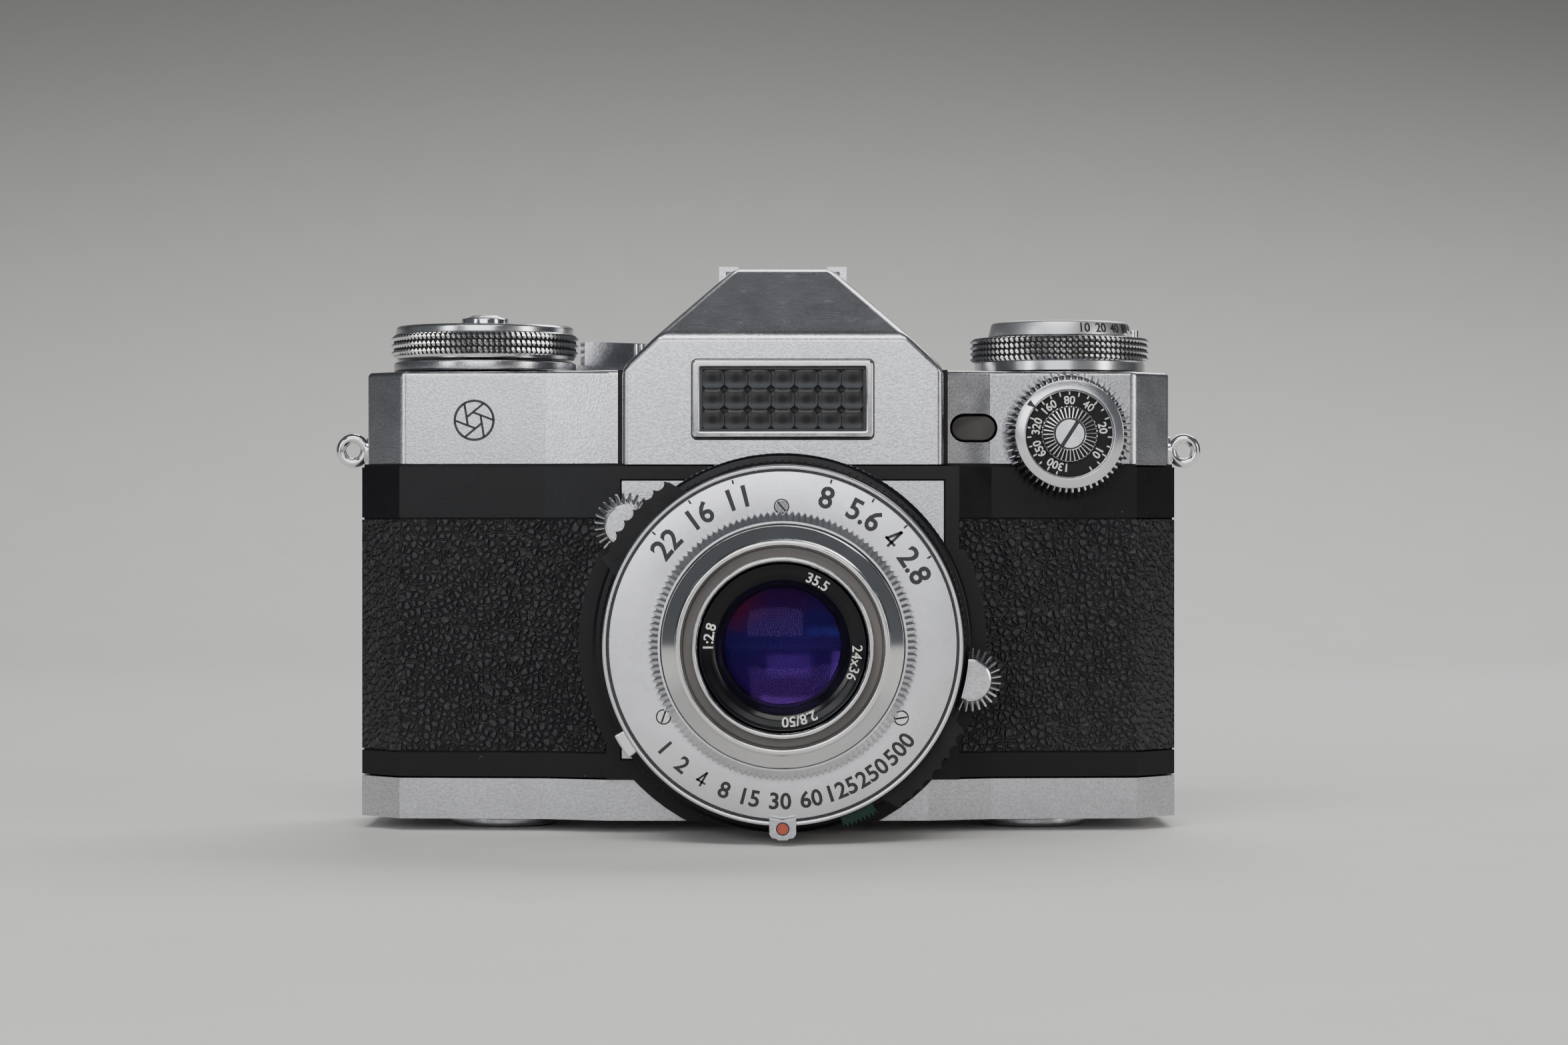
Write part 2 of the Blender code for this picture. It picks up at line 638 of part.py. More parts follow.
def make_meter_wheel():
    at = (WHEEL_X, 0, WHEEL_Z)
    wheel = [
        (0, 3.6), (7.2, 3.6), (7.2, 5.6), (8.7, 5.6), (8.9, 5.2), (10.0, 1.6), (10.0, 0.4), (2.1, 0.4),
        (2.1, -5.0), (0, -5.0),
    ]
    turned("meter_wheel", wheel, at, SATIN, True, 40, False)
    disc = [(0, 6.2), (4.1, 6.2), (4.35, 5.9), (4.35, 4.9), (6.9, 4.9), (6.9, 3.9), (0, 3.9)]
    turned("film_speed_disc", disc, at, BLACK, True, 32, False)


# ---------------------------------------------------------------- back with its base


def make_back():
    low, high = BASE_Z, CORE_Z[1]
    back = plate("back_cover", BODY_OUTLINE, low, high, SATIN)
    cut(back, plate("tool", inset(BODY_OUTLINE, WALL), low + WALL, high + 1))
    cut(back, box("tool", (-FAR, -FAR, PAN_TOP_Z), (FAR, FILM_Y + GAP, FAR)))
    for x in (-KEY_X, KEY_X):
        cut(back, cylinder("tool", 2.8, 0, 5, (x, KEY_Y), sides=24))
    cut(back, cylinder("tool", 5.3, 0, 5, (LENS_X, BUSH_Y), sides=32))
    rear = REAR_Y + GAP
    box("back_leather", (-61.5, rear, LEATHER_Z[0]), (61.5, rear + SKIN, LEATHER_Z[1]), LEATHER)
    box("pressure_plate", (LENS_X - 28, FILM_Y + 0.5, 15.5), (LENS_X + 28, FILM_Y + 2.0, 47.0), BLACK)
    for x, name in ((-KEY_X, "lock_key_left"), (KEY_X, "lock_key_right")):
        key = [(0, 5.2), (2.5, 5.2), (2.5, 1.7), (KEY_R, 1.7), (KEY_R, 0.3), (KEY_R - 0.3, 0), (0, 0)]
        turned(name, key, (x, KEY_Y, 0), SATIN, steps=32, closed=False)
    bush = [(2.75, 7.6), (5.0, 7.6), (5.0, 1.7), (8.0, 1.7), (8.0, 0.3), (7.7, 0), (2.75, 0)]
    turned("tripod_bush", bush, (LENS_X, BUSH_Y, 0), SATIN, steps=32)


make_core()
make_skins()
make_cover()
make_prism_housing()
make_shoe()
make_eyepiece()
make_finder()
make_mirror_box()
make_mirror()
make_meter()
make_lugs()
make_front_block()
make_shutter()
make_rings()
make_front_component()
make_advance()
make_rewind()
make_meter_wheel()
make_back()
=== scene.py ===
"""The finished look of the reflex camera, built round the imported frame."""

import json
import math

import bmesh
import bpy
from mathutils import Matrix, Vector


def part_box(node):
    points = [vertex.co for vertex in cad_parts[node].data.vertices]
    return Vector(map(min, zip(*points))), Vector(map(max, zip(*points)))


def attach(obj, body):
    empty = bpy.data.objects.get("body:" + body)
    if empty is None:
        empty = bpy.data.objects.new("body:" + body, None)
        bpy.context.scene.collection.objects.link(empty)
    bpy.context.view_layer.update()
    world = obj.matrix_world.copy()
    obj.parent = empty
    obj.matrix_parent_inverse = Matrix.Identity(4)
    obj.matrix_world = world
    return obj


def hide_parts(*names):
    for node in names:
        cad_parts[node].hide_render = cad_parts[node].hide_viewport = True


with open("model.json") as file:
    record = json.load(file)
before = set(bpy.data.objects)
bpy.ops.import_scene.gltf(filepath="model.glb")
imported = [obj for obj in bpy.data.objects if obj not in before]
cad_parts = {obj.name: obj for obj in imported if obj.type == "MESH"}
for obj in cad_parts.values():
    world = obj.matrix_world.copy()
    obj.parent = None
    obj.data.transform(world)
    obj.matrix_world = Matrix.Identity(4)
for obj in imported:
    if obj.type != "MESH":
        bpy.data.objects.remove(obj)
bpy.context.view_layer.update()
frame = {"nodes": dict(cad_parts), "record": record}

MM = 0.001
RECORD = frame["record"]
BODY_OF = {node: body for body, nodes in RECORD["behaviour"]["bodies"].items() for node in nodes}
SLOT_OF = {entry["node"]: entry["material_slot"] for entry in RECORD["subparts"]}
NODES = frame["nodes"]


def middle(node):
    """The middle of a CAD node's box, in millimetres."""
    low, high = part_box(node)
    return [(a + b) / 2 / MM for a, b in zip(low, high)]


LX, _, LZ = middle("shutter_face_plate")
LENS = (LX, LZ)
AX, DY, _ = middle("advance_dial")
RX = middle("rewind_knob")[0]
WX, _, WZ = middle("meter_wheel")

# ---------------------------------------------------------------- materials

# Metres per radian in the noise that draws lathe marks: small, so that the marks run round the axis.
LATHE_SWEEP = 0.0004


class Nodes:
    """A material's node tree, with short calls for what the finishes share."""

    def __init__(self, name, colour, roughness, metallic=0.0, **sockets):
        self.material = bpy.data.materials.new(name)
        self.material.use_nodes = True
        self.tree = self.material.node_tree
        self.shader = self.tree.nodes["Principled BSDF"]
        self.set("Base Color", (*colour, 1.0))
        self.set("Roughness", roughness)
        self.set("Metallic", metallic)
        for socket, value in sockets.items():
            self.set(socket.replace("_", " ").title().replace("Ior", "IOR"), value)
        self.place = self.add("ShaderNodeTexCoord").outputs["Object"]

    def set(self, socket, value):
        self.shader.inputs[socket].default_value = value

    def add(self, kind, inputs=(), **settings):
        node = self.tree.nodes.new(kind)
        for key, value in settings.items():
            setattr(node, key, value)
        for key, value in dict(inputs).items():
            if isinstance(value, bpy.types.NodeSocket):
                self.tree.links.new(value, node.inputs[key])
            else:
                node.inputs[key].default_value = value
        return node

    def link(self, output, socket):
        self.tree.links.new(output, self.shader.inputs[socket])

    def noise(self, scale, detail=3.0, roughness=0.55, vector=None):
        node = self.add("ShaderNodeTexNoise", {
            "Vector": vector or self.place, "Scale": scale, "Detail": detail,
            "Roughness": roughness,
        })
        return node.outputs["Fac"]

    def remap(self, value, low, high, to_low, to_high, smooth=False):
        node = self.add("ShaderNodeMapRange", {
            "Value": value, "From Min": low, "From Max": high, "To Min": to_low, "To Max": to_high,
        })
        if smooth:
            node.interpolation_type = "SMOOTHSTEP"
        return node.outputs["Result"]

    def math(self, operation, first, second=0.0):
        node = self.add("ShaderNodeMath", {0: first, 1: second}, operation=operation)
        return node.outputs["Value"]

    def mix(self, factor, first, second):
        """A colour between two; each is a colour or a socket."""
        node = self.add("ShaderNodeMix", data_type="RGBA")
        for index, value in ((0, factor), (6, first), (7, second)):
            if isinstance(value, bpy.types.NodeSocket):
                self.tree.links.new(value, node.inputs[index])
            elif index == 0:
                node.inputs[index].default_value = value
            else:
                node.inputs[index].default_value = (*value, 1.0)
        return node.outputs[2]

    def bump(self, height, distance, strength=1.0, after=None):
        inputs = {"Height": height, "Distance": distance, "Strength": strength}
        if after:
            inputs["Normal"] = after
        output = self.add("ShaderNodeBump", inputs).outputs["Normal"]
        self.link(output, "Normal")
        return output

    def turned_place(self, centre, forward):
        """(radius, angle, height) round an axis, as a vector: what lathe marks follow."""
        moved = self.add("ShaderNodeVectorMath", {0: self.place, 1: centre}, operation="SUBTRACT")
        parts = self.add("ShaderNodeSeparateXYZ", {0: moved.outputs[0]}).outputs
        across = parts[2] if forward else parts[1]
        along = parts[1] if forward else parts[2]
        squares = self.math("ADD", self.math("MULTIPLY", parts[0], parts[0]), self.math("MULTIPLY", across, across))
        radius = self.math("SQRT", squares)
        angle = self.math("ARCTAN2", across, parts[0])
        swept = self.math("MULTIPLY", angle, LATHE_SWEEP)
        return self.add("ShaderNodeCombineXYZ", {0: radius, 1: swept, 2: along}).outputs[0]


def metal(name, dark, light, rough=(0.3, 0.42), grain=5200.0, depth=0.00003, valley_shade=0.25, turned=None, speckle=0.0):
    """A plated metal: uneven tone, a fine grain, faint grime, and lathe marks where it is turned."""
    n = Nodes(name, light, rough[0], 1.0)
    tone = n.remap(n.noise(55.0, 4.0), 0.35, 0.65, 0.0, 1.0)
    colour = n.mix(tone, dark, light)
    spots = n.remap(n.noise(900.0, 5.0, 0.7), 0.62, 0.75, 0.0, valley_shade)
    colour = n.mix(spots, colour, tuple(c * 0.35 for c in dark))
    n.link(colour, "Base Color")
    fine = n.noise(grain, 2.0, 0.6)
    if speckle:
        colour = n.mix(n.remap(fine, 0.36, 0.64, speckle, 0.0), colour, tuple(c * 0.45 for c in dark))
        n.link(colour, "Base Color")
    n.link(n.remap(n.noise(240.0, 5.0, 0.65), 0.3, 0.7, *rough), "Roughness")
    first = n.bump(fine, depth, 0.8)
    if turned:
        centre, forward = turned
        marks = n.noise(9000.0, 2.0, 0.5, vector=n.turned_place(centre, forward))
        n.bump(marks, 0.00001, 0.8, after=first)
    return n.material


def enamel(name, colour, rough=(0.22, 0.38), depth=0.00002, wear=0.0, wear_colour=(0.35, 0.33, 0.3)):
    """A painted metal: slightly uneven gloss, an orange-peel surface, dust and small chips."""
    n = Nodes(name, colour, rough[0], 0.0)
    n.set("Specular IOR Level", 0.22)
    tone = n.remap(n.noise(30.0, 5.0), 0.2, 0.8, 0.0, 1.0)
    light = tuple(c * 1.5 + 0.001 for c in colour)
    mixed = n.mix(tone, colour, light)
    dust = n.remap(n.noise(2600.0, 4.0, 0.75), 0.70, 0.80, 0.0, 0.25)
    mixed = n.mix(dust, mixed, (0.10, 0.09, 0.085))
    if wear:
        chips = n.remap(n.noise(420.0, 6.0, 0.7), 0.70, 0.72, 0.0, wear)
        mixed = n.mix(chips, mixed, wear_colour)
    n.link(mixed, "Base Color")
    n.link(n.remap(n.noise(300.0, 4.0), 0.3, 0.7, *rough), "Roughness")
    n.bump(n.noise(1500.0, 3.0), depth, 0.6)
    return n.material


def leather(name):
    """Black leatherette: a pebbled grain of rounded islands with narrow creases between them, with painted shade in
    the creases.
    """
    n = Nodes(name, (0.02, 0.02, 0.024), 0.5)
    n.set("Specular IOR Level", 0.34)
    bent = n.add("ShaderNodeTexNoise", {"Vector": n.place, "Scale": 700.0, "Detail": 2.0}).outputs["Color"]
    shifted = n.add("ShaderNodeVectorMath", {0: bent, "Scale": 0.0007}, operation="SCALE").outputs[0]
    place = n.add("ShaderNodeVectorMath", {0: n.place, 1: shifted}, operation="ADD").outputs[0]
    cells = n.add("ShaderNodeTexVoronoi", {"Vector": place, "Scale": 900.0}, feature="DISTANCE_TO_EDGE")
    # Painted shade: the creases are darker than the tops of the pebbles.
    pebbles = n.remap(cells.outputs["Distance"], 0.0, 0.26, 0.0, 1.0, smooth=True)
    colour = n.mix(pebbles, (0.003, 0.003, 0.0035), (0.017, 0.017, 0.021))
    worn = n.remap(n.noise(35.0, 3.0), 0.4, 0.75, 0.0, 0.35)
    n.link(n.mix(worn, colour, (0.028, 0.027, 0.029)), "Base Color")
    n.link(n.remap(n.noise(500.0, 4.0), 0.3, 0.7, 0.30, 0.44), "Roughness")
    fine = n.noise(6000.0, 3.0)
    height = n.math("ADD", pebbles, n.math("MULTIPLY", fine, 0.18))
    n.bump(height, 0.00028, 1.0)
    return n.material


def cells():
    """Dark moulded glass in square cells, with painted shade at each cell's middle and in the creases between cells,
    and a painted highlight at each cell's foot.
    """
    n = Nodes("honeycomb_glass", (0.02, 0.02, 0.022), 0.3)
    n.set("Specular IOR Level", 0.2)
    low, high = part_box("cell_window")
    parts = n.add("ShaderNodeSeparateXYZ", {0: n.place}).outputs

    def within(value, start, end, count):
        part = n.math("FRACT", n.remap(value, start, end, 0.0, count))
        return n.math("SUBTRACT", n.math("MULTIPLY", part, 2.0), 1.0)

    u, v = within(parts[0], low[0], high[0], 7.0), within(parts[2], low[2], high[2], 3.0)
    shift = n.math("ADD", v, -0.1)
    away = n.math("SQRT", n.math("ADD", n.math("MULTIPLY", u, u), n.math("MULTIPLY", shift, shift)))
    # Painted shade at each cell's middle, and a painted highlight at each cell's foot.
    heart = n.remap(away, 0.15, 0.75, 0.0, 1.0, smooth=True)
    foot = n.remap(v, -0.1, -0.8, 0.0, 1.0, smooth=True)
    body = n.mix(foot, (0.030, 0.030, 0.032), (0.085, 0.090, 0.098))
    colour = n.mix(heart, (0.003, 0.003, 0.0035), body)
    # Painted shade in the creases between the cells.
    au, av = n.math("ABSOLUTE", u), n.math("ABSOLUTE", v)
    cut = n.math("MULTIPLY", n.math("ADD", au, av), 0.62)
    edge = n.math("MAXIMUM", n.math("MAXIMUM", au, av), cut)
    line = n.remap(edge, 0.93, 0.99, 0.0, 1.0)
    n.link(n.mix(line, colour, (0.002, 0.002, 0.002)), "Base Color")
    n.link(n.remap(n.noise(700.0, 4.0), 0.3, 0.7, 0.26, 0.40), "Roughness")
    return n.material


def paint(name, colour, rough=0.5):
    """The fill of engraved figures and marks; the black one also serves as painted shade in slots, gaps and grooves
    and as painted shadows.
    """
    n = Nodes(name, colour, rough)
    tone = n.remap(n.noise(1800.0, 4.0, 0.7), 0.35, 0.7, 0.0, 1.0)
    n.link(n.mix(tone, colour, tuple(c * 0.7 + 0.01 for c in colour)), "Base Color")
    n.link(n.remap(n.noise(900.0, 3.0), 0.3, 0.7, rough - 0.1, rough + 0.1), "Roughness")
    return n.material


def glass(name, tint, rough, coat, ior=1.6):
    """Coated optical glass with a little dust."""
    n = Nodes(name, tint, rough, 0.0, transmission_weight=1.0, ior=ior)
    n.set("Specular Tint", (*coat, 1.0))
    specks = n.remap(n.noise(3000.0, 5.0, 0.8), 0.68, 0.8, 0.0, 0.04)
    n.link(n.mix(specks, tint, (0.8, 0.8, 0.8)), "Base Color")
    n.link(n.remap(n.noise(200.0, 4.0), 0.4, 0.8, rough, rough + 0.05), "Roughness")
    return n.material


def coating(name):
    """The dark violet of a coated lens, with painted reflections: one tint below and another above, a painted amber
    reflection high on its left, and a painted blue highlight right of its middle.
    """
    n = Nodes(name, (0.03, 0.01, 0.09), 0.12, ior=1.3)
    n.set("Specular Tint", (0.45, 0.15, 0.9, 1.0))
    parts = n.add("ShaderNodeSeparateXYZ", {0: n.place}).outputs
    # Painted reflections: the tints below are placed by height and side across the lens.
    across = n.math("SUBTRACT", parts[0], LX * MM)
    up = n.math("SUBTRACT", parts[2], LZ * MM)
    soft = n.math("MULTIPLY", n.math("SUBTRACT", n.noise(160.0, 3.0), 0.5), 0.006)
    height = n.math("ADD", n.math("ADD", up, soft), n.math("MULTIPLY", across, -0.25))
    upper = n.remap(height, -0.0004, 0.0010, 0.0, 1.0, smooth=True)
    top = n.remap(height, 0.0030, 0.0075, 0.0, 1.0, smooth=True)
    left = n.remap(across, -0.001, -0.0065, 0.0, 1.0, smooth=True)
    lower = n.mix(n.remap(up, -0.008, 0.0, 0.0, 1.0), (0.020, 0.002, 0.050), (0.012, 0.006, 0.070))
    higher = n.mix(top, (0.008, 0.008, 0.065), (0.020, 0.003, 0.030))
    higher = n.mix(n.math("MULTIPLY", left, top), higher, (0.085, 0.008, 0.008))
    gleam = n.math("MULTIPLY", n.remap(across, 0.002, 0.006, 0.0, 1.0, smooth=True),
                   n.remap(up, 0.0035, 0.0015, 0.0, 1.0, smooth=True))
    higher = n.mix(n.math("MULTIPLY", gleam, 0.8), higher, (0.020, 0.040, 0.20))
    n.link(n.mix(upper, lower, higher), "Base Color")
    n.link(n.remap(n.noise(400.0, 4.0), 0.3, 0.7, 0.10, 0.14), "Roughness")
    return n.material


LENS_CENTRE = (LX * MM, 0.0, LZ * MM)
SATIN = metal("satin_chrome", (0.56, 0.56, 0.585), (0.63, 0.63, 0.66), (0.22, 0.28), 2900.0, 0.000022,
              speckle=0.42)
SATIN_TURNED = metal("satin_turned", (0.60, 0.60, 0.62), (0.70, 0.70, 0.73), (0.24, 0.32), 6000.0, 0.00001, 0.0,
                     (LENS_CENTRE, True))
CHROME = metal("bright_chrome", (0.70, 0.69, 0.69), (0.80, 0.80, 0.81), (0.08, 0.14), 7000.0, 0.000004, 0.25)
CHROME_TURNED = metal("bright_turned", (0.68, 0.67, 0.67), (0.78, 0.78, 0.79), (0.12, 0.17), 7000.0, 0.000003, 0.2,
                      (LENS_CENTRE, True))
KNURL = metal("knurled_chrome", (0.55, 0.55, 0.56), (0.74, 0.74, 0.75), (0.18, 0.26), 6000.0, 0.000004, 0.3)
CAST = enamel("black_casting", (0.012, 0.012, 0.013), (0.45, 0.65), 0.00006)
BLACK = enamel("black_enamel", (0.0045, 0.0045, 0.0055), (0.26, 0.34), 0.00002, 0.5)
MATT = enamel("matt_black", (0.006, 0.006, 0.007), (0.5, 0.7), 0.00003)
NAME_BLACK = enamel("name_ring_black", (0.004, 0.004, 0.005), (0.16, 0.28), 0.00001)
GREEN = enamel("green_enamel", (0.004, 0.022, 0.015), (0.3, 0.45), 0.00003, 0.6)
LEATHER = leather("leatherette")
RED = paint("red_mark", (0.42, 0.06, 0.03), 0.35)
WHITE = paint("white_figures", (0.80, 0.79, 0.74), 0.55)
# Black for figures, and also painted shade in slots, gaps and grooves and painted shadows round screws and the meter
# window.
INK_AND_SHADE = paint("black_figures_and_shade", (0.010, 0.010, 0.012), 0.45)
FRONT_GLASS = glass("coated_glass", (0.86, 0.80, 0.98), 0.01, (0.5, 0.25, 0.9), 1.22)
INNER_GLASS = coating("coated_inner")
CLEAR = glass("clear_glass", (0.82, 0.86, 0.88), 0.02, (1.0, 1.0, 1.0))
SELENIUM = enamel("selenium", (0.020, 0.018, 0.020), (0.25, 0.4), 0.00002)
SILVERED = metal("silvered", (0.85, 0.85, 0.86), (0.92, 0.92, 0.93), (0.02, 0.05), 7000.0, 0.000001, 0.1)
STEEL = metal("spring_steel", (0.10, 0.10, 0.11), (0.17, 0.17, 0.18), (0.3, 0.45), 5000.0, 0.00001, 0.2)

RUBBER = enamel("black_grip", (0.008, 0.008, 0.009), (0.42, 0.6), 0.00008)
# Painted shade: a dark finish for the valleys of knurls, ribs and flutes, and for the grooves beside the prism
# housing.
PAINTED_SHADE = enamel("painted_shade_black", (0.010, 0.009, 0.008), (0.55, 0.75), 0.00004)
GRIME = enamel("grimy_groove", (0.115, 0.108, 0.104), (0.45, 0.7), 0.00012, 1.0, (0.02, 0.014, 0.01))
SATIN_UP = metal("satin_turned_up", (0.58, 0.58, 0.60), (0.72, 0.72, 0.74), (0.34, 0.42), 6000.0, 0.00001, 0.1,
                 ((RX * MM, DY * MM, 0.0), False))
SATIN_WHEEL = metal("satin_turned_wheel", (0.62, 0.62, 0.64), (0.72, 0.72, 0.75), (0.16, 0.22), 6000.0, 0.000004, 0.1,
                    ((WX * MM, 0.0, WZ * MM), True))
HONEYCOMB = cells()
READOUT_GLASS = enamel("readout_glass", (0.050, 0.047, 0.044), (0.10, 0.2), 0.000004)
PANEL_STEP = 0.9

FINISH = {
    "satin_chrome": SATIN, "polished_chrome": CHROME, "black_enamel": BLACK, "die_cast": CAST,
    "leatherette": LEATHER, "optical_glass": CLEAR, "black_plastic": MATT, "spring_steel": STEEL,
    "silvered_glass": SILVERED, "green_enamel": GREEN,
}
NODE_FINISH = {
    "selenium_cell": SELENIUM, "rear_lens_group": INNER_GLASS, "mirror_box": MATT, "capping_flap": MATT,
}

# ---------------------------------------------------------------- carried-over CAD nodes

ROUNDING = {
    "back_cover": 0.5, "upper_band": 0.25, "lower_band": 0.2,
    "leather_left": 0.3, "leather_right": 0.3, "back_leather": 0.35, "front_plate": 0.35, "body_casting": 0.3,
    "front_escutcheon": 0.12, "accessory_shoe": 0.18, "eyepiece_frame": 0.6, "eyepiece_lens": 0.3,
    "reflex_mirror": 0.15, "pentaprism": 0.4, "rewind_crank": 0.15, "pressure_plate": 0.3,
}


EDGE_ANGLE = math.radians(28)


def round_edges(obj, width):
    """Rounds the sharp edges of an object, by a width in millimetres."""
    bevel = obj.modifiers.new("round", "BEVEL")
    bevel.width = width * MM
    bevel.segments = 3
    bevel.limit_method = "ANGLE"
    bevel.angle_limit = EDGE_ANGLE
    bevel.harden_normals = True


def dress(node):
    """Gives a CAD node its finish, and rounds its edges."""
    obj = NODES[node]
    obj.data.materials.clear()
    obj.data.materials.append(NODE_FINISH.get(node, FINISH[SLOT_OF[node]]))
    flat = obj.modifiers.new("flatten", "DECIMATE")
    flat.decimate_type = "DISSOLVE"
    flat.angle_limit = math.radians(0.5)
    round_edges(obj, ROUNDING.get(node, 0.15))
    obj.data.shade_smooth()
    obj.data.set_sharp_from_angle(angle=EDGE_ANGLE)


for node in NODES:
    dress(node)

# ---------------------------------------------------------------- shapes


def lens_axis(radius, angle, height):
    return (LX + radius * math.cos(angle), -height, LZ + radius * math.sin(angle))


def upright(x, y):
    return lambda radius, angle, height: (x + radius * math.cos(angle), y + radius * math.sin(angle), height)


def facing(x, z):
    """As lens_axis, for another axis that points the way the lens does."""
    return lambda radius, angle, height: (x + radius * math.cos(angle), -height, z + radius * math.sin(angle))


def wave(step, steps, count):
    """A triangular wave: 0 in the valleys and 1 on the crests."""
    part = (step * count / steps) % 1.0
    return 1.0 - abs(2.0 * part - 1.0)


def lathe(rows, place=lens_axis, steps=128, closed=True):
    """Revolves rows of (radius, height[, tooth depth, tooth count]); an open profile ends on the axis."""
    points, faces = [], []
    for row in rows:
        radius, height = row[:2]
        depth, count = row[2:] if len(row) > 2 else (0.0, 0)
        for i in range(steps):
            crest = wave(i, steps, count) if count else 1.0
            if count and steps > 4 * count:
                crest = min(1.0, max(0.0, 2.2 * crest - 0.6))
            cut = depth * (1.0 - crest)
            points.append(place(radius - cut, math.tau * i / steps, height))
    last = len(rows) if closed else len(rows) - 1
    for j in range(last):
        a, b = j * steps, ((j + 1) % len(rows)) * steps
        for i in range(steps):
            k = (i + 1) % steps
            faces.append((a + i, a + k, b + k, b + i))
    return points, faces


def soften(profile, radius=0.12, closed=True):
    """A profile with its corners rounded."""
    rounded = []
    count = len(profile)
    for i, corner in enumerate(profile):
        here = Vector(corner)
        if not closed and i in (0, count - 1):
            rounded.append(tuple(here))
            continue
        before, after = Vector(profile[i - 1]), Vector(profile[(i + 1) % count])
        to_before, to_after = before - here, after - here
        reach = min(radius, to_before.length * 0.45, to_after.length * 0.45)
        start, end = here + to_before.normalized() * reach, here + to_after.normalized() * reach
        for t in (0.0, 0.33, 0.67, 1.0):
            rounded.append(tuple(start * (1 - t) ** 2 + here * 2 * t * (1 - t) + end * t * t))
    return rounded


def pyramids(radius, low, high, rows, depth, count):
    """Rows for a band of small pyramids, from high to low."""
    out = []
    for i in range(rows):
        bottom = low + (high - low) * i / rows
        top = low + (high - low) * (i + 1) / rows
        out.append((radius - depth, bottom))
        out.append((radius, (bottom + top) / 2, depth, count))
    out.append((radius - depth, high))
    return out[::-1]


def about(centre, radius, angle):
    """The point at a radius and an angle in degrees from a centre."""
    a = math.radians(angle)
    return centre[0] + radius * math.cos(a), centre[1] + radius * math.sin(a)


def arc(radius, start, end, count, centre=(0.0, 0.0)):
    return [about(centre, radius, start + (end - start) * i / count) for i in range(count + 1)]


def flat_up(a, b, height):
    return (a, b, height)


def flat_front(a, b, height):
    """A place on the front: across, up, and forward."""
    return (a, -height, b)


def flat_back(a, b, height):
    """A place on the back: across, up, and backward."""
    return (a, height, b)


def extrude(outline, low, high, place=flat_front):
    count = len(outline)
    points = [place(a, b, low) for a, b in outline] + [place(a, b, high) for a, b in outline]
    faces = [tuple(reversed(range(count))), tuple(range(count, 2 * count))]
    for i in range(count):
        k = (i + 1) % count
        faces.append((i, k, count + k, count + i))
    return points, faces


def tick(centre, reach, angle, half, level, place=flat_front, depth=0.08):
    """A radial scale mark between two radii: a thin plate whose face is at a level."""
    outer, inner = reach
    edge = arc(outer, angle - half, angle + half, 1, centre) + arc(inner, angle + half, angle - half, 1, centre)
    return extrude(edge, level - depth, level, place)


def brick(low, high):
    outline = [(low[0], low[1]), (high[0], low[1]), (high[0], high[1]), (low[0], high[1])]
    return extrude(outline, low[2], high[2], flat_up)


def moved(part, matrix):
    points, faces = part
    return [tuple(matrix @ Vector(p)) for p in points], faces


def tube(path, radius, sides=12, closed=False):
    """A round wire along a path of points."""
    path = [Vector(p) for p in path]
    points, faces = [], []
    count = len(path)
    normal = None
    for i, here in enumerate(path):
        before = path[i - 1] if (i or closed) else here
        after = path[(i + 1) % count] if (i < count - 1 or closed) else here
        along = (after - before).normalized()
        if normal is None:
            normal = along.orthogonal().normalized()
        normal = (normal - along * normal.dot(along)).normalized()
        side = along.cross(normal)
        for s in range(sides):
            a = math.tau * s / sides
            points.append(tuple(here + (normal * math.cos(a) + side * math.sin(a)) * radius))
    rings = count if closed else count - 1
    for i in range(rings):
        a, b = i * sides, ((i + 1) % count) * sides
        for s in range(sides):
            k = (s + 1) % sides
            faces.append((a + s, a + k, b + k, b + s))
    if not closed:
        faces.append(tuple(reversed(range(sides))))
        faces.append(tuple(range((count - 1) * sides, count * sides)))
    return points, faces


BODY_OUTLINE = [
    (-26.0, -3.2), (26.0, -3.2), (36.4, 0.2), (60.2, 1.7), (67.0, 8.0), (67.0, 31.0),
    (62.5, 36.5), (-62.5, 36.5), (-67.0, 31.0), (-67.0, 8.0), (-60.2, 1.7), (-36.4, 0.2),
]


def inset(outline, distance):
    """A counter-clockwise outline moved inwards."""
    out = []
    for i, here in enumerate(outline):
        here, before, after = Vector(here), Vector(outline[i - 1]), Vector(outline[(i + 1) % len(outline)])
        first, second = (here - before).normalized(), (after - here).normalized()
        inward = Vector((-first.y, first.x)) + Vector((-second.y, second.x))
        out.append(tuple(here + inward * (distance / (1 + first.dot(second)))))
    return out


def slot_outline(x, z, width, height, count=10):
    half = (width - height) / 2
    return arc(height / 2, -90, 90, count, (x + half, z)) + arc(height / 2, 90, 270, count, (x - half, z))


def finished(holder):
    """The points and faces of an object, with its curve or its modifiers worked out."""
    bpy.context.view_layer.update()
    graph = bpy.context.evaluated_depsgraph_get()
    mesh = bpy.data.meshes.new_from_object(holder.evaluated_get(graph))
    shape = [tuple(v.co) for v in mesh.vertices], [tuple(f.vertices) for f in mesh.polygons]
    bpy.data.meshes.remove(mesh)
    return shape


TEXT = {}


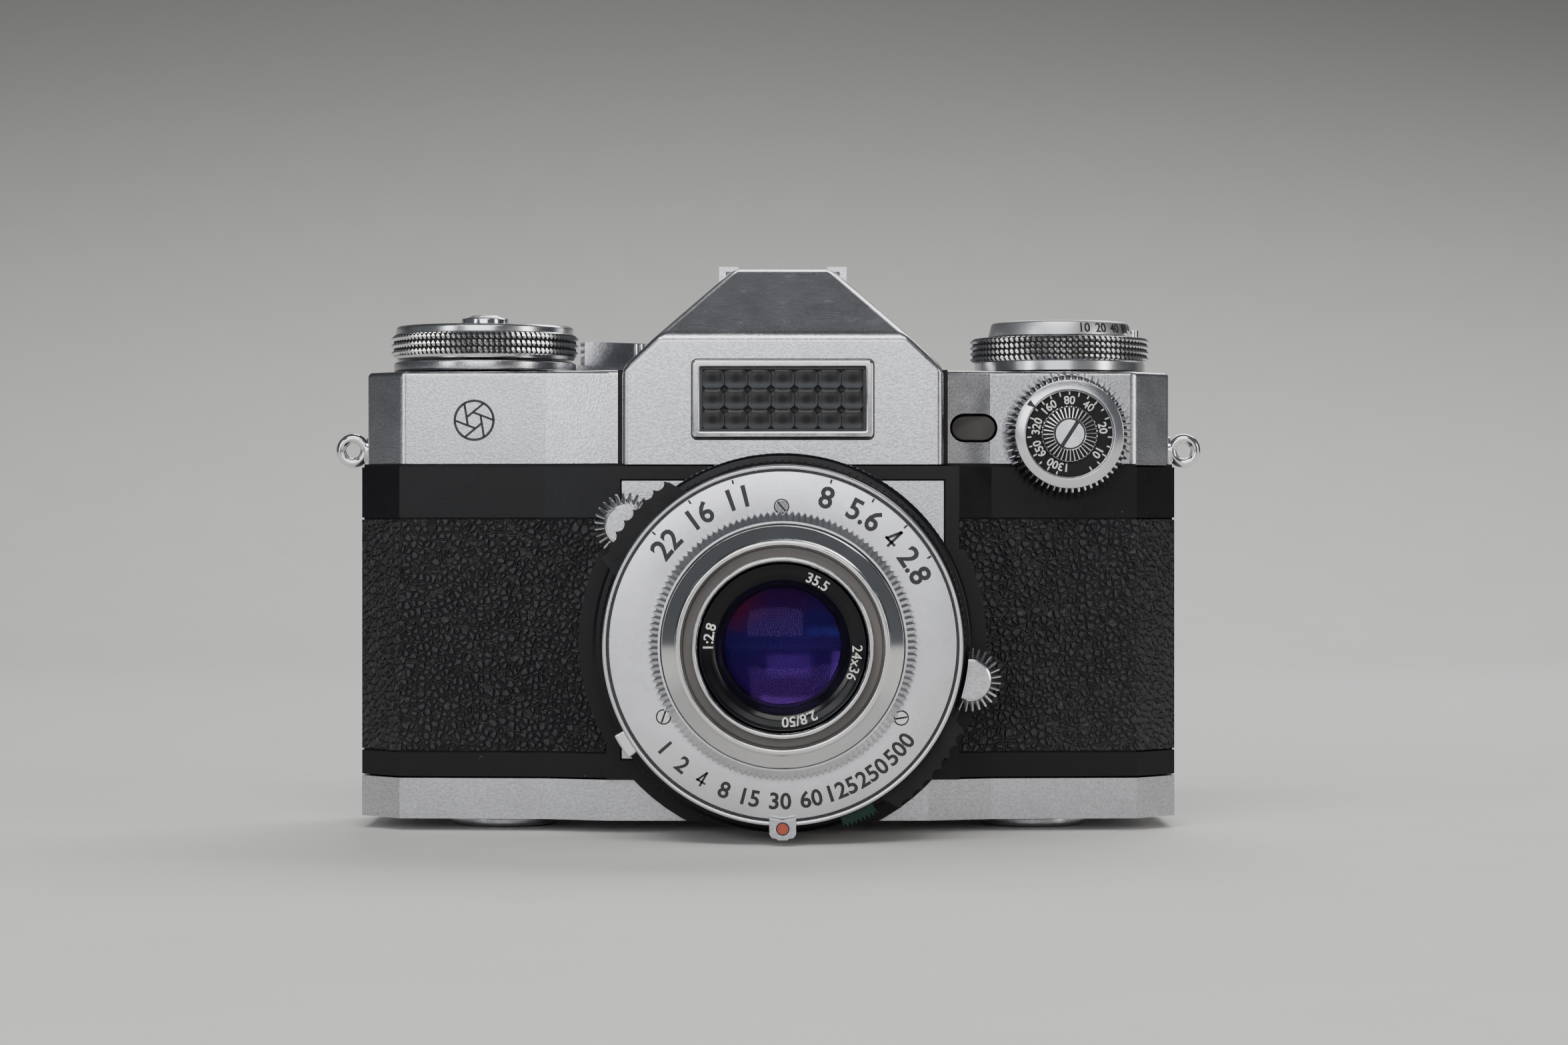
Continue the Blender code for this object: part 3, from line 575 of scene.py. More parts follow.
def letters(text, height):
    """A flat mesh of figures, centred across and up: points in two dimensions, and faces."""
    key = (text, height)
    if text == "4":
        bars = (((-0.12, -0.5), (0.02, -0.5), (0.02, 0.5), (-0.12, 0.5)),
                ((-0.46, -0.28), (0.20, -0.28), (0.20, -0.15), (-0.46, -0.15)),
                ((-0.46, -0.28), (-0.30, -0.28), (0.02, 0.5), (-0.12, 0.5)))
        points = [((a + 0.12) * height, b * height) for bar in bars for a, b in bar]
        return points, [(0, 1, 2, 3), (4, 5, 6, 7), (8, 9, 10, 11)]
    if key not in TEXT:
        curve = bpy.data.curves.new("figures", "FONT")
        curve.body = text
        curve.size = height / 0.70
        curve.align_x = "CENTER"
        curve.resolution_u = 3
        bold = 0.036 if height > 2 else 0.022
        curve.offset = (0.004 if "4" in text else bold) * height
        holder = bpy.data.objects.new("figures", curve)
        bpy.context.scene.collection.objects.link(holder)
        points, faces = finished(holder)
        TEXT[key] = [(x, y - height / 2) for x, y, _ in points], faces
        bpy.data.objects.remove(holder)
    return TEXT[key]


def round_text(text, height, radius, angle, level, place=lens_axis, inward=False):
    """Figures bent round an axis on a flat face, with their tops outwards or inwards."""
    points, faces = letters(text, height)
    sign = 1.0 if inward else -1.0
    middle_angle = math.radians(angle)
    return [place(radius - sign * y, middle_angle + sign * x / radius, level) for x, y in points], faces


def side_text(text, height, radius, angle, level, place, lean=0.0):
    """Figures on the side of an upright cylinder or cone."""
    points, faces = letters(text, height)
    turn = math.radians(angle)
    return [place(radius - lean * y, turn + x / radius, level + y) for x, y in points], faces


# Points of one shape that are this close, in millimetres, become one.
WELD = 0.002


def piece(name, parts, finish, node, stands=True, smooth=32, bevel=0.0):
    """Makes one object from several shapes, and has it ride on its node's body."""
    points, faces = [], []
    for part_points, part_faces in parts:
        base = len(points)
        points += [tuple(c * MM for c in p) for p in part_points]
        faces += [tuple(base + i for i in face) for face in part_faces]
    mesh = bpy.data.meshes.new(name)
    mesh.from_pydata(points, [], faces)
    work = bmesh.new()
    work.from_mesh(mesh)
    bmesh.ops.remove_doubles(work, verts=work.verts, dist=WELD * MM)
    bmesh.ops.recalc_face_normals(work, faces=work.faces)
    work.to_mesh(mesh)
    work.free()
    mesh.materials.append(finish)
    obj = bpy.data.objects.new(name, mesh)
    bpy.context.scene.collection.objects.link(obj)
    if bevel:
        round_edges(obj, bevel)
    mesh.shade_smooth()
    mesh.set_sharp_from_angle(angle=math.radians(smooth))
    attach(obj, BODY_OF[node])
    if stands:
        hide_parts(node)
    return obj


def carve(part, tools):
    """One shape with others cut out of it."""
    holders = []
    for points, faces in [part] + tools:
        mesh = bpy.data.meshes.new("blank")
        mesh.from_pydata([tuple(p) for p in points], [], faces)
        work = bmesh.new()
        work.from_mesh(mesh)
        bmesh.ops.recalc_face_normals(work, faces=work.faces)
        work.to_mesh(mesh)
        work.free()
        holders.append(bpy.data.objects.new("blank", mesh))
        bpy.context.scene.collection.objects.link(holders[-1])
    for tool in holders[1:]:
        step = holders[0].modifiers.new("cut", "BOOLEAN")
        step.object = tool
        step.solver = "EXACT"
    result = finished(holders[0])
    for holder in holders:
        bpy.data.objects.remove(holder)
    return result


def screw(x, z, level, radius, turn):
    """A slotted screw head that faces forwards: head and slot walls as one turned part with two halves."""
    halves = []
    gap = radius * 0.13
    for side in (-1, 1):
        start = math.degrees(math.asin(gap / radius))
        edge = arc(radius, start, 180 - start, 20)
        edge = [(a, b * side) for a, b in edge]
        c, s = math.cos(math.radians(turn)), math.sin(math.radians(turn))
        halves.append(extrude([(x + a * c - b * s, z + a * s + b * c) for a, b in edge], level - 0.5, level))
    return halves


def screw_slot(x, z, level, radius):
    """The floor of a screw's slot, in black: painted shade in the slot."""
    full = arc(radius * 0.97, 0, 342, 19)
    return extrude([(x + a, z + b) for a, b in full], level - 0.7, level - 0.22)


# ---------------------------------------------------------------- lens


def make_lens():
    low, high = 7.3, 16.0
    housing = soften([(15.5, high), (29.6, high), (30.1, high - 0.5)], 0.2, closed=False)
    housing += [(30.2, high - 1.1, 0.3, 180), (30.2, high - 5.2, 0.3, 180)]
    foot = [(29.8, high - 5.4), (30.2, high - 5.7), (30.2, low + 0.2), (29.9, low), (15.5, low)]
    housing += soften(foot, 0.12, False)
    piece("shutter_case", [lathe(housing, steps=360)], BLACK, "shutter_housing")

    teeth = [(28.3, 19.0), (29.0, 18.7, 0.45, 150), (29.0, 16.6, 0.45, 150), (28.3, 16.3)]
    inner = [(18.8, 16.3), (18.8, 19.0)]
    piece("speed_ring_body", [lathe(teeth + inner, steps=300)], BLACK, "speed_ring")
    for name, radius, angle in (("speed_grip_upper", 30.9, 143), ("speed_grip_lower", 30.0, -11)):
        make_grip(name, radius, angle)

    ring = soften([(18.8, 21.0), (28.4, 21.0), (28.7, 20.7), (28.7, 19.6), (28.4, 19.3), (18.8, 19.3)], 0.1)
    piece("aperture_ring_body", [lathe(ring)], BLACK, "aperture_ring")
    tab = arc(30.2, 208.4, 216.6, 6, LENS) + arc(27.6, 216.6, 208.4, 6, LENS)
    piece("aperture_tab", [extrude(tab, 19.35, 20.9)], CHROME, "aperture_ring", False, bevel=0.35)

    make_focus_ring()
    ring = soften([(18.8, 25.4), (26.3, 25.4), (26.5, 25.2), (26.5, 24.5), (26.3, 24.3), (18.8, 24.3)], 0.1)
    piece("sync_ring", [lathe(ring)], BLACK, "sync_lever")
    outer = []
    for i in range(17):
        outer.append(about(LENS, 30.3 - (0.75 if i % 2 else 0.0), -71.5 + 11 * i / 16))
    inner = arc(26.0, -60.5, -71.5, 6, LENS)
    piece("sync_tab", [extrude(outer + inner, 24.35, 25.35)], GREEN, "sync_lever", False, bevel=0.12)

    make_face_plate()
    make_front()


def pushed_out(x, z, reach=29.35):
    """A point moved straight away from the lens axis where it would run into the rings."""
    out = Vector((x - LX, z - LZ))
    if out.length < reach:
        out = out.normalized() * reach
    return LX + out.x, LZ + out.y


def clear_of_rings(part):
    """A part with its points pushed out of the rings of the lens."""
    points, faces = part
    shaped = []
    for x, y, z in points:
        x, z = pushed_out(x, z)
        shaped.append((x, y, z))
    return shaped, faces


def make_grip(name, radius, angle):
    """A round grip with a satin face and deeply serrated flanks, cut to clear the rings."""
    x, z = about(LENS, radius, angle)
    count = 28
    rows = [(0.0, 20.4), (3.05, 20.4), (3.3, 20.25), (3.45, 19.9, 0.1, count), (5.1, 17.8, 1.1, count),
            (5.3, 17.3, 1.2, count), (5.3, 16.4, 1.2, count), (0.0, 16.35)]
    body = lathe(rows, facing(x, z), steps=6 * count, closed=False)
    piece(f"{name}_body", [clear_of_rings(body)], KNURL, name, smooth=8)
    # Painted shade: a dark cone just under the serrations, so that their valleys show dark.
    shade_rows = [(0.0, 19.6), (3.38, 19.6), (4.12, 17.8), (4.22, 17.3), (4.22, 16.5), (0.0, 16.5)]
    valley_shade = lathe(shade_rows, facing(x, z), steps=48, closed=False)
    piece(f"{name}_grime", [clear_of_rings(valley_shade)], PAINTED_SHADE, name, False)
    face = [pushed_out(a, b, 29.5) for a, b in arc(3.0, 0, 350, 35, (x, z))]
    piece(f"{name}_face", [extrude(face, 20.3, 20.47)], SATIN, name, False, bevel=0.05)


def make_focus_ring():
    ring = soften([(18.8, 24.0), (28.1, 24.0), (28.4, 23.7), (28.4, 21.6), (28.1, 21.3), (18.8, 21.3)], 0.1)
    parts = [lathe(ring)]
    for centre in (140, -40):
        steps = 72
        outer = []
        for i in range(steps + 1):
            t = i / steps
            scallop = abs(math.sin(math.pi * 9 * t)) ** 0.6
            ends = min(1.0, min(t, 1 - t) * 12)
            radius = 28.0 + (2.85 + 0.75 * (1 - scallop)) * ends
            outer.append(about(LENS, radius, centre - 18 + 36 * t))
        inner = arc(27.6, centre + 18, centre - 18, 18, LENS)
        parts.append(extrude(outer + inner, 21.35, 23.9))
    piece("focus_ring_body", parts, RUBBER, "focus_ring", bevel=0.25)


def make_face_plate():
    rows = soften([
        (16.4, 27.3), (27.0, 27.3), (27.15, 26.95), (27.4, 26.95), (27.5, 27.45), (27.85, 27.5), (28.1, 27.25),
        (28.1, 25.7), (18.5, 25.7), (18.5, 16.3), (16.4, 16.3),
    ], 0.08)
    piece("face_plate", [lathe(rows, steps=192)], SATIN_TURNED, "shutter_face_plate")
    groove = [(27.05, 27.02), (27.45, 27.02), (27.45, 26.8), (27.05, 26.8)]
    piece("face_groove", [lathe(groove, steps=192)], INK_AND_SHADE, "shutter_face_plate", False)
    heads, rings = [], []
    for angle in (90.5, 211.0, -31.5):
        x, z = about(LENS, 21.6, angle)
        heads += screw(x, z, 27.62, 1.0, 40 + angle)
        rings.append(screw_slot(x, z, 27.62, 1.0))
        # Painted shadow: a dark ring round each screw head.
        rings.append(lathe([(1.0, 27.36), (1.22, 27.36), (1.22, 27.2), (1.0, 27.2)], facing(x, z), 32))
    piece("face_screws", heads, CHROME, "shutter_face_plate", False, bevel=0.06)
    piece("face_screw_shades", rings, INK_AND_SHADE, "shutter_face_plate", False)
    marks = []
    for text, angle in (("22", 139), ("16", 123), ("11", 107), ("8", 73.5), ("5.6", 58), ("4", 44), ("2.8", 31)):
        marks.append(round_text(text, 3.3, 24.0, angle, 27.33))
        marks.append(tick(LENS, (26.9, 26.2), angle, 0.35, 27.33))
    speeds = ("1", "2", "4", "8", "15", "30", "60", "125", "250", "500")
    for text, angle in zip(speeds, (221, 230, 239, 248, 257.5, 269, 280.5, 292, 305, 318.3)):
        marks.append(round_text(text, 2.5, 24.2, angle, 27.33, inward=True))
    piece("face_figures", marks, INK_AND_SHADE, "shutter_face_plate", False)
    catch = [(-2.1, 4.5), (-2.1, 1.9), (-1.7, 1.3), (-0.9, 1.2), (-0.8, 0.95), (0.8, 0.95), (0.9, 1.2), (1.7, 1.3),
             (2.1, 1.9), (2.1, 4.5), (0.0, 4.1)]
    piece("catch_body", [extrude([(LX + a, b) for a, b in catch], 27.8, 28.7)], SATIN, "bayonet_catch", bevel=0.18)
    dot = arc(0.85, 0, 340, 17, (LX, 2.75))
    rim = lathe(soften([(0.85, 28.75), (1.05, 28.75), (1.05, 28.5), (0.85, 28.5)], 0.03), facing(LX, 2.75), 32)
    piece("catch_rim", [rim], INK_AND_SHADE, "bayonet_catch", False)
    piece("catch_dot", [extrude(dot, 28.6, 28.74)], RED, "bayonet_catch", False, bevel=0.04)


def make_front():
    teeth = 132
    knurl = [(18.9, 31.35), (19.3, 31.35), (20.75, 30.35, 0.6, teeth), (20.95, 30.0, 0.6, teeth),
             (20.95, 28.3, 0.6, teeth), (20.0, 27.9), (14.5, 27.9)]
    tube_rows = [(14.5, 19.0), (12.9, 19.0), (12.9, 30.9)]
    piece("front_knurl", [lathe(knurl + tube_rows, steps=2 * teeth)], SATIN_TURNED, "front_barrel", smooth=12)
    cone = soften([
        (12.9, 30.6), (18.65, 30.6), (18.65, 34.9), (18.4, 35.3),
        (16.65, 37.1), (16.35, 37.7), (15.75, 37.7), (15.6, 37.5), (15.3, 36.2), (13.1, 36.2), (13.1, 31.2),
    ], 0.14)
    piece("front_cone", [lathe(cone, steps=192)], CHROME_TURNED, "front_barrel", False)
    groove = soften([(15.35, 36.6), (15.25, 36.25), (13.85, 36.2), (13.85, 35.9), (15.35, 35.9)], 0.05)
    piece("front_groove", [lathe(groove, steps=128)], GRIME, "front_barrel", False)
    # Painted shade: a dark ring in the crevice between the knurled ring and the cone.
    line = [(18.67, 31.9), (19.0, 31.38), (18.67, 31.3)]
    piece("front_line_shade", [lathe(line, steps=128)], INK_AND_SHADE, "front_barrel", False)
    rim = soften([(13.9, 36.3), (13.9, 38.6), (13.7, 38.95), (13.35, 38.95), (13.1, 38.6), (12.9, 37.4), (12.9, 31.0),
                  (13.3, 31.0), (13.3, 36.3)], 0.1)
    piece("front_rim", [lathe(rim, steps=192)], CHROME_TURNED, "front_barrel", False)

    bowl = soften([(12.75, 37.7), (12.2, 37.5), (11.2, 37.3), (10.35, 36.9), (9.75, 35.2), (9.5, 34.4), (9.5, 33.0),
                   (12.75, 33.0)], 0.15)
    piece("name_ring_body", [lathe(bowl, steps=160)], NAME_BLACK, "name_ring")
    figures = []
    for text, angle in (("2.8/50", 283), ("1:2.8", 172), ("35.5", 62), ("24x36", 348)):
        figures.append(round_text(text, 1.55, 11.45, angle, 37.5))
    piece("name_ring_figures", figures, WHITE, "name_ring", False)

    dome = [(0.0, 35.6), (2.4, 35.5), (4.7, 35.22), (6.6, 34.85), (8.2, 34.4), (9.35, 33.95), (9.35, 32.2),
            (7.0, 31.95), (4.5, 31.8), (0.0, 31.7)]
    piece("front_glass", [lathe(dome, steps=96, closed=False)], FRONT_GLASS, "front_element")
    back = [(0.0, 27.9), (3.0, 28.05), (6.0, 28.6), (8.6, 29.5), (8.6, 26.6), (5.0, 26.9), (0.0, 27.2)]
    piece("inner_glass", [lathe(back, steps=96, closed=False)], INNER_GLASS, "second_element")
    walls = [(9.6, 33.0), (9.6, 26.4), (8.9, 26.4), (8.7, 29.7), (9.2, 31.5), (9.4, 33.0)]
    piece("glass_cell", [lathe(walls, steps=96)], MATT, "name_ring", False)

    piece("iris_blades", [iris_blade(k) for k in range(5)], STEEL, "iris_diaphragm", smooth=20)


def iris_blade(k):
    """One curved blade of the iris, in a fan."""
    turn = math.tau * k / 5
    outline = arc(15.1, 0, 118, 24) + arc(8.6, 118, 0, 18, (1.4, 1.2))
    c, s = math.cos(turn), math.sin(turn)
    spun = [(LX + a * c - b * s, LZ + a * s + b * c) for a, b in outline]
    return extrude(spun, 11.02 + 0.11 * k, 11.1 + 0.11 * k)


# ---------------------------------------------------------------- top controls


def make_top():
    at = upright(AX, DY)
    top = soften([(13.2, 82.45), (13.5, 82.95), (14.5, 82.95), (14.85, 82.6), (14.85, 81.75)], 0.12, False)
    dial = [(3.7, 82.4), (6.0, 82.4), (6.0, 81.4), (12.6, 81.4), (12.6, 82.4)] + top
    dial += [(15.0, 81.62)] + pyramids(15.72, 77.95, 81.55, 3, 0.62, 104)
    dial += [(15.0, 77.6), (14.8, 77.4), (3.7, 77.4)]
    piece("wind_dial", [lathe(dial, at, 208)], KNURL, "advance_dial", smooth=25)
    # Painted shade: a dark band just under the knurl, so that its valleys show dark.
    shade_rows = [(15.25, 81.45), (15.25, 78.05), (14.9, 78.05), (14.9, 81.45)]
    piece("wind_dial_valley_shade", [lathe(shade_rows, at)], PAINTED_SHADE, "advance_dial", False)
    rim = soften([(13.3, 82.99), (14.45, 82.99), (14.45, 82.8), (13.3, 82.8)], 0.03)
    piece("wind_dial_rim", [lathe(rim, at)], BLACK, "advance_dial", False)
    counter = soften([(6.4, 82.2), (12.2, 82.2), (12.2, 81.7), (6.4, 81.7)], 0.06)
    piece("counter_disc_body", [lathe(counter, at)], BLACK, "counter_disc")
    marks = []
    for k in range(36):
        turn = 90 - 10 * k
        if k % 5 == 0 and k < 35:
            marks.append(round_text(str(k), 1.35, 10.0, turn, 82.23, at))
        marks.append(tick((AX, DY), (12.0, 11.6 if k % 5 else 11.2), turn, 0.5, 82.23, flat_up))
    piece("counter_figures", marks, WHITE, "counter_disc", False)
    button = soften([(0.0, 84.95), (2.3, 84.95), (2.55, 84.75), (3.0, 84.6), (3.3, 84.3), (3.3, 74.0)], 0.1, False)
    button.append((0.0, 74.0))
    piece("release_button_body", [lathe(button, at, 64, closed=False)], SATIN_UP, "release_button")
    collar = soften([(3.5, 84.35), (3.75, 84.45), (3.95, 84.25), (3.95, 82.2), (3.5, 82.2)], 0.08)
    piece("release_collar", [lathe(collar, at, 64)], CHROME, "advance_dial", False)
    make_lever(at)

    at = upright(RX, DY)
    knob = [(0.0, 81.6), (8.2, 81.6), (8.2, 81.0), (14.2, 81.0), (14.4, 80.98)]
    knob += pyramids(15.02, 77.05, 80.95, 4, 0.58, 92)
    knob += [(14.4, 77.0), (14.25, 76.85), (14.25, 75.4), (14.1, 75.3), (3.0, 75.3), (3.0, 62.0), (0.0, 62.0)]
    piece("rewind_knob_body", [lathe(knob, at, 184, closed=False)], KNURL, "rewind_knob", smooth=25)
    # Painted shade: a dark band just under the knurl, so that its valleys show dark.
    shade_rows = [(14.58, 80.85), (14.58, 77.15), (14.3, 77.15), (14.3, 80.85)]
    piece("rewind_knob_valley_shade", [lathe(shade_rows, at)], PAINTED_SHADE, "rewind_knob", False)
    ring = soften([(8.6, 83.6), (11.15, 83.65), (11.45, 83.4), (12.0, 81.3), (8.6, 81.3)], 0.12)
    piece("reminder_ring", [lathe(ring, at)], SATIN_UP, "reminder_dial")
    marks = []
    for k, text in enumerate(("10", "20", "40", "80", "160", "320", "650")):
        marks.append(side_text(text, 1.5, 11.76, 286 + 15.2 * k, 82.5, at, lean=0.26))
    piece("reminder_figures", marks, INK_AND_SHADE, "reminder_dial", False)
    stub = arc(0.9, -18, 312, 11, about((RX, DY), 12.6, -18))
    piece("reminder_index", [extrude(stub, 81.0, 82.3, flat_up)], CHROME, "rewind_knob", False, bevel=0.2)
    make_crank()


def make_housing():
    """The prism housing, with well rounded edges and the step that the shoe stands in."""
    low = 59.7
    corners = ((26.0, -5.0, low), (26.0, -5.0, 75.3), (26.0, 12.0, low), (26.0, 12.0, 75.3), (20.3, -5.0, 80.6),
               (8.1, 10.0, 92.3), (8.1, 14.0, 92.3), (8.1, 34.0, 90.0), (15.0, 34.0, low), (15.0, 34.0, 78.0))
    work = bmesh.new()
    for side in (-1, 1):
        for half, y, z in corners:
            work.verts.new((LX + side * half, y, z))
    bmesh.ops.convex_hull(work, input=work.verts)
    bmesh.ops.dissolve_limit(work, angle_limit=0.01, verts=work.verts, edges=work.edges)
    upper = [e for e in work.edges if max(v.co.z for v in e.verts) > low + 0.1]
    bmesh.ops.bevel(work, geom=upper, offset=1.1, offset_type="OFFSET", segments=4, profile=0.5, affect="EDGES",
                    clamp_overlap=True)
    parts = []
    for rear in (False, True):
        half = work.copy()
        whole = half.verts[:] + half.edges[:] + half.faces[:]
        bmesh.ops.bisect_plane(half, geom=whole, plane_co=(0, 13.5, 0), plane_no=(0, 1, 0),
                               clear_inner=rear, clear_outer=not rear)
        if rear:
            whole = half.verts[:] + half.edges[:] + half.faces[:]
            bmesh.ops.bisect_plane(half, geom=whole, plane_co=(0, 0, 89.6), plane_no=(0, 0, 1), clear_outer=True)
            rim = [e for e in half.edges if e.is_boundary and min(v.co.z for v in e.verts) > 89.5]
            bmesh.ops.contextual_create(half, geom=rim)
        else:
            rim = [e for e in half.edges if e.is_boundary and min(v.co.y for v in e.verts) > 13.4]
            bmesh.ops.contextual_create(half, geom=rim)
        half.verts.index_update()
        parts.append(([tuple(v.co) for v in half.verts], [tuple(v.index for v in f.verts) for f in half.faces]))
        half.free()
    work.free()
    obj = piece("housing_shell", parts, SATIN, "prism_housing", smooth=28)
    obj.modifiers.new("even", "WEIGHTED_NORMAL").keep_sharp = True
    # Painted shade: a dark plate for the dark inside seen through the eyepiece.
    dark = rounded_box(LX, 68.0, 8.4, 5.4, 1.2)
    piece("eyepiece_shade", [extrude(dark, 34.05, 34.4, flat_back)], MATT, "prism_housing", False)


def make_cover():
    """The top cover, with rounded edges, hollow from below and open for the shafts and windows."""
    low, high = 59.7, 75.0
    points, faces = extrude(inset(BODY_OUTLINE, PANEL_STEP), low, high, flat_up)
    work = bmesh.new()
    corners = [work.verts.new(p) for p in points]
    for face in faces:
        work.faces.new([corners[i] for i in face])
    bmesh.ops.recalc_face_normals(work, faces=work.faces)
    upper = [e for e in work.edges if max(v.co.z for v in e.verts) > high - 0.1 and
             (min(v.co.z for v in e.verts) > high - 0.1 or e.calc_face_angle(0) > 0.6)]
    bmesh.ops.bevel(work, geom=upper, offset=0.75, offset_type="OFFSET", segments=8, profile=0.5, affect="EDGES")
    work.verts.index_update()
    solid = [tuple(v.co) for v in work.verts], [tuple(v.index for v in f.verts) for f in work.faces]
    work.free()
    x, _, z = middle("readout_window")
    tools = [
        extrude(inset(BODY_OUTLINE, PANEL_STEP + 1.0), low - 1, high - 1.0, flat_up),
        extrude(arc(3.5, 0, 345, 23, (AX, DY)), 70, 80, flat_up),
        extrude(arc(3.5, 0, 345, 23, (RX, DY)), 70, 80, flat_up),
        extrude(arc(2.5, 0, 345, 23, (WX, WZ)), -6, 6),
        extrude(slot_outline(x, z, 7.9, 4.7), -6, 6),
        brick((LX - 8.5, 33.0, 62.5), (LX + 8.5, 38.0, 73.5)),
        brick((LX - 25.0, 0.0, low - 2), (LX + 25.0, 11.0, high + 2)),
    ]
    obj = piece("cover_shell", [carve(solid, tools)], SATIN, "top_cover", smooth=13)
    obj.modifiers.new("even", "WEIGHTED_NORMAL").keep_sharp = True


def make_lever(at):
    hub = soften([(3.7, 77.1), (14.7, 77.1), (15.2, 76.8), (15.2, 75.6), (14.9, 75.3), (3.7, 75.3)], 0.15)
    turn = Matrix.Translation((AX, DY, 0)) @ Matrix.Rotation(math.radians(24), 4, "Z")
    arm = [(13.0, -3.9), (20.0, -3.4), (30.2, -1.7), (31.5, -0.9), (31.8, 0.2), (31.2, 2.0), (29.5, 2.7), (20.0, 3.5),
           (13.0, 3.9)]
    blade = [(16.5, -3.5), (20.0, -3.35), (30.2, -1.65), (31.4, -0.8), (31.7, 0.3), (31.0, 1.8), (29.6, 2.4),
             (27.8, 1.6), (22.0, -0.8), (16.5, -1.5)]
    parts = [lathe(hub, at)]
    parts += [moved(extrude(arm, 75.3, 76.8, flat_up), turn), moved(extrude(blade, 75.4, 80.8, flat_up), turn)]
    piece("wind_lever", parts, SATIN, "advance_lever", bevel=0.3)
    ridges = []
    for k in range(4):
        x = 26.4 + 1.0 * k
        y = -3.35 + (x - 20.0) * 1.7 / 10.2
        path = [(x, y - 0.05, 76.2), (x, y - 0.12, 78.5), (x, y - 0.05, 80.6)]
        ridges.append(moved(tube(path, 0.28, 10), turn))
    piece("wind_lever_ridges", ridges, CHROME, "advance_lever", False)


def make_crank():
    low, high = 83.3, 83.95
    arm = [(-8.2, -2.2), (-7.0, -2.5), (6.2, -2.8), (7.4, -2.2), (7.4, 2.2), (6.2, 2.8), (-7.0, 2.5), (-8.2, 2.2),
           (-8.7, 1.2), (-8.7, -1.2)]
    arm = [(RX + a, DY + b) for a, b in arm]
    piece("crank_arm", [extrude(arm, low, high, flat_up)], SATIN, "rewind_crank", bevel=0.22)
    knob = soften([(0.0, 81.9), (1.5, 81.9), (1.7, 82.2), (1.7, 83.4), (0.0, 83.4)], 0.12, False)
    piece("crank_knob", [lathe(knob, upright(RX - 6.0, DY), 32, closed=False)], CHROME, "rewind_crank", False)
    pin = tube([(RX + 6.6, DY - 2.7, 83.4), (RX + 6.6, DY + 2.7, 83.4)], 0.6, 16)
    piece("crank_pin", [pin], CHROME, "rewind_crank", False)


def make_wheel():
    at = facing(WX, WZ)
    count = 56
    rows = [(0.0, 3.6), (7.2, 3.6), (7.25, 5.0), (7.4, 5.1), (8.6, 5.15), (8.85, 5.1, 0.15, count),
            (9.5, 4.6, 0.7, count), (10.35, 1.9, 0.95, count), (10.35, 1.2, 0.95, count), (9.3, 0.5), (2.1, 0.4),
            (2.1, -5.0), (0.0, -5.0)]
    piece("wheel_rim", [lathe(rows, at, 6 * count, closed=False)], SATIN_WHEEL, "meter_wheel", smooth=12)
    ring = soften([(7.15, 5.0), (7.15, 5.55), (7.3, 5.7), (8.7, 5.38), (8.85, 5.2), (8.0, 4.9)], 0.06)
    piece("wheel_ring", [lathe(ring, at)], SATIN_WHEEL, "meter_wheel", False)
    # Painted shade: a dark cone just under the ribs of the rim, so that their valleys show dark.
    shade_rows = [(8.5, 5.0), (8.78, 4.9), (9.0, 4.3), (9.62, 1.9), (9.62, 1.3), (8.5, 1.3)]
    piece("wheel_valley_shade", [lathe(shade_rows, at)], PAINTED_SHADE, "meter_wheel", False)
    disc = [(0.0, 5.0), (6.85, 5.0), (6.95, 4.9), (6.95, 3.9), (0.0, 3.9)]
    piece("speed_disc", [lathe(disc, at, closed=False)], MATT, "film_speed_disc")
    hub = [(2.5, 5.95), (2.6, 6.0), (2.75, 5.95), (4.2, 5.75), (4.5, 5.45), (4.35, 4.95), (2.5, 4.95)]
    ribs = 36
    points, faces = lathe(hub, at, 4 * ribs)
    fluted = []
    for i, (x, y, z) in enumerate(points):
        row, step = divmod(i, 4 * ribs)
        low = row in (2, 3, 4) and step % 4 > 1
        fluted.append((x, y + ((0.25, 0.45, 0.3)[row - 2] if low else 0.0), z))
    piece("speed_hub", [(fluted, faces)], SATIN_WHEEL, "film_speed_disc", False, smooth=10)
    # Painted shade: a dark cone just under the flutes of the hub, so that they show dark.
    shade_rows = [(2.7, 5.75), (4.2, 5.5), (4.42, 5.2), (4.3, 4.97), (2.7, 4.97)]
    piece("hub_valley_shade", [lathe(shade_rows, at)], PAINTED_SHADE, "film_speed_disc", False)
    heads = screw(WX, WZ, 6.15, 2.3, 57)
    piece("wheel_screw", heads, SATIN_WHEEL, "film_speed_disc", False, bevel=0.08)
    # Painted shade: a dark ring in the gap round the screw, with the dark floor of its slot.
    hollow = lathe([(2.3, 6.05), (2.5, 6.05), (2.5, 5.6), (2.3, 5.6)], at, 48)
    piece("wheel_screw_shade", [screw_slot(WX, WZ, 6.15, 2.3), hollow], INK_AND_SHADE, "film_speed_disc", False)
    marks = []
    speeds = (("80", 90), ("40", 56), ("20", 10), ("10", -33), ("160", 128), ("320", 167), ("650", 206), ("1300", 250))
    for text, angle in speeds:
        marks.append(round_text(text, 1.3, 5.5, angle, 5.03, at))
    for k in range(24):
        marks.append(tick((WX, WZ), (6.85, 6.35 if k % 2 else 6.2), 90 + 13.5 * (k - 11), 0.9, 5.03, depth=0.05))
    piece("speed_figures", marks, WHITE, "film_speed_disc", False)
    index = arc(8.4, 139, 146, 2, (WX, WZ)) + [about((WX, WZ), 6.6, 142.5)]
    piece("wheel_index", [extrude(index, 5.3, 5.76)], INK_AND_SHADE, "meter_wheel", False)


# ---------------------------------------------------------------- meter window


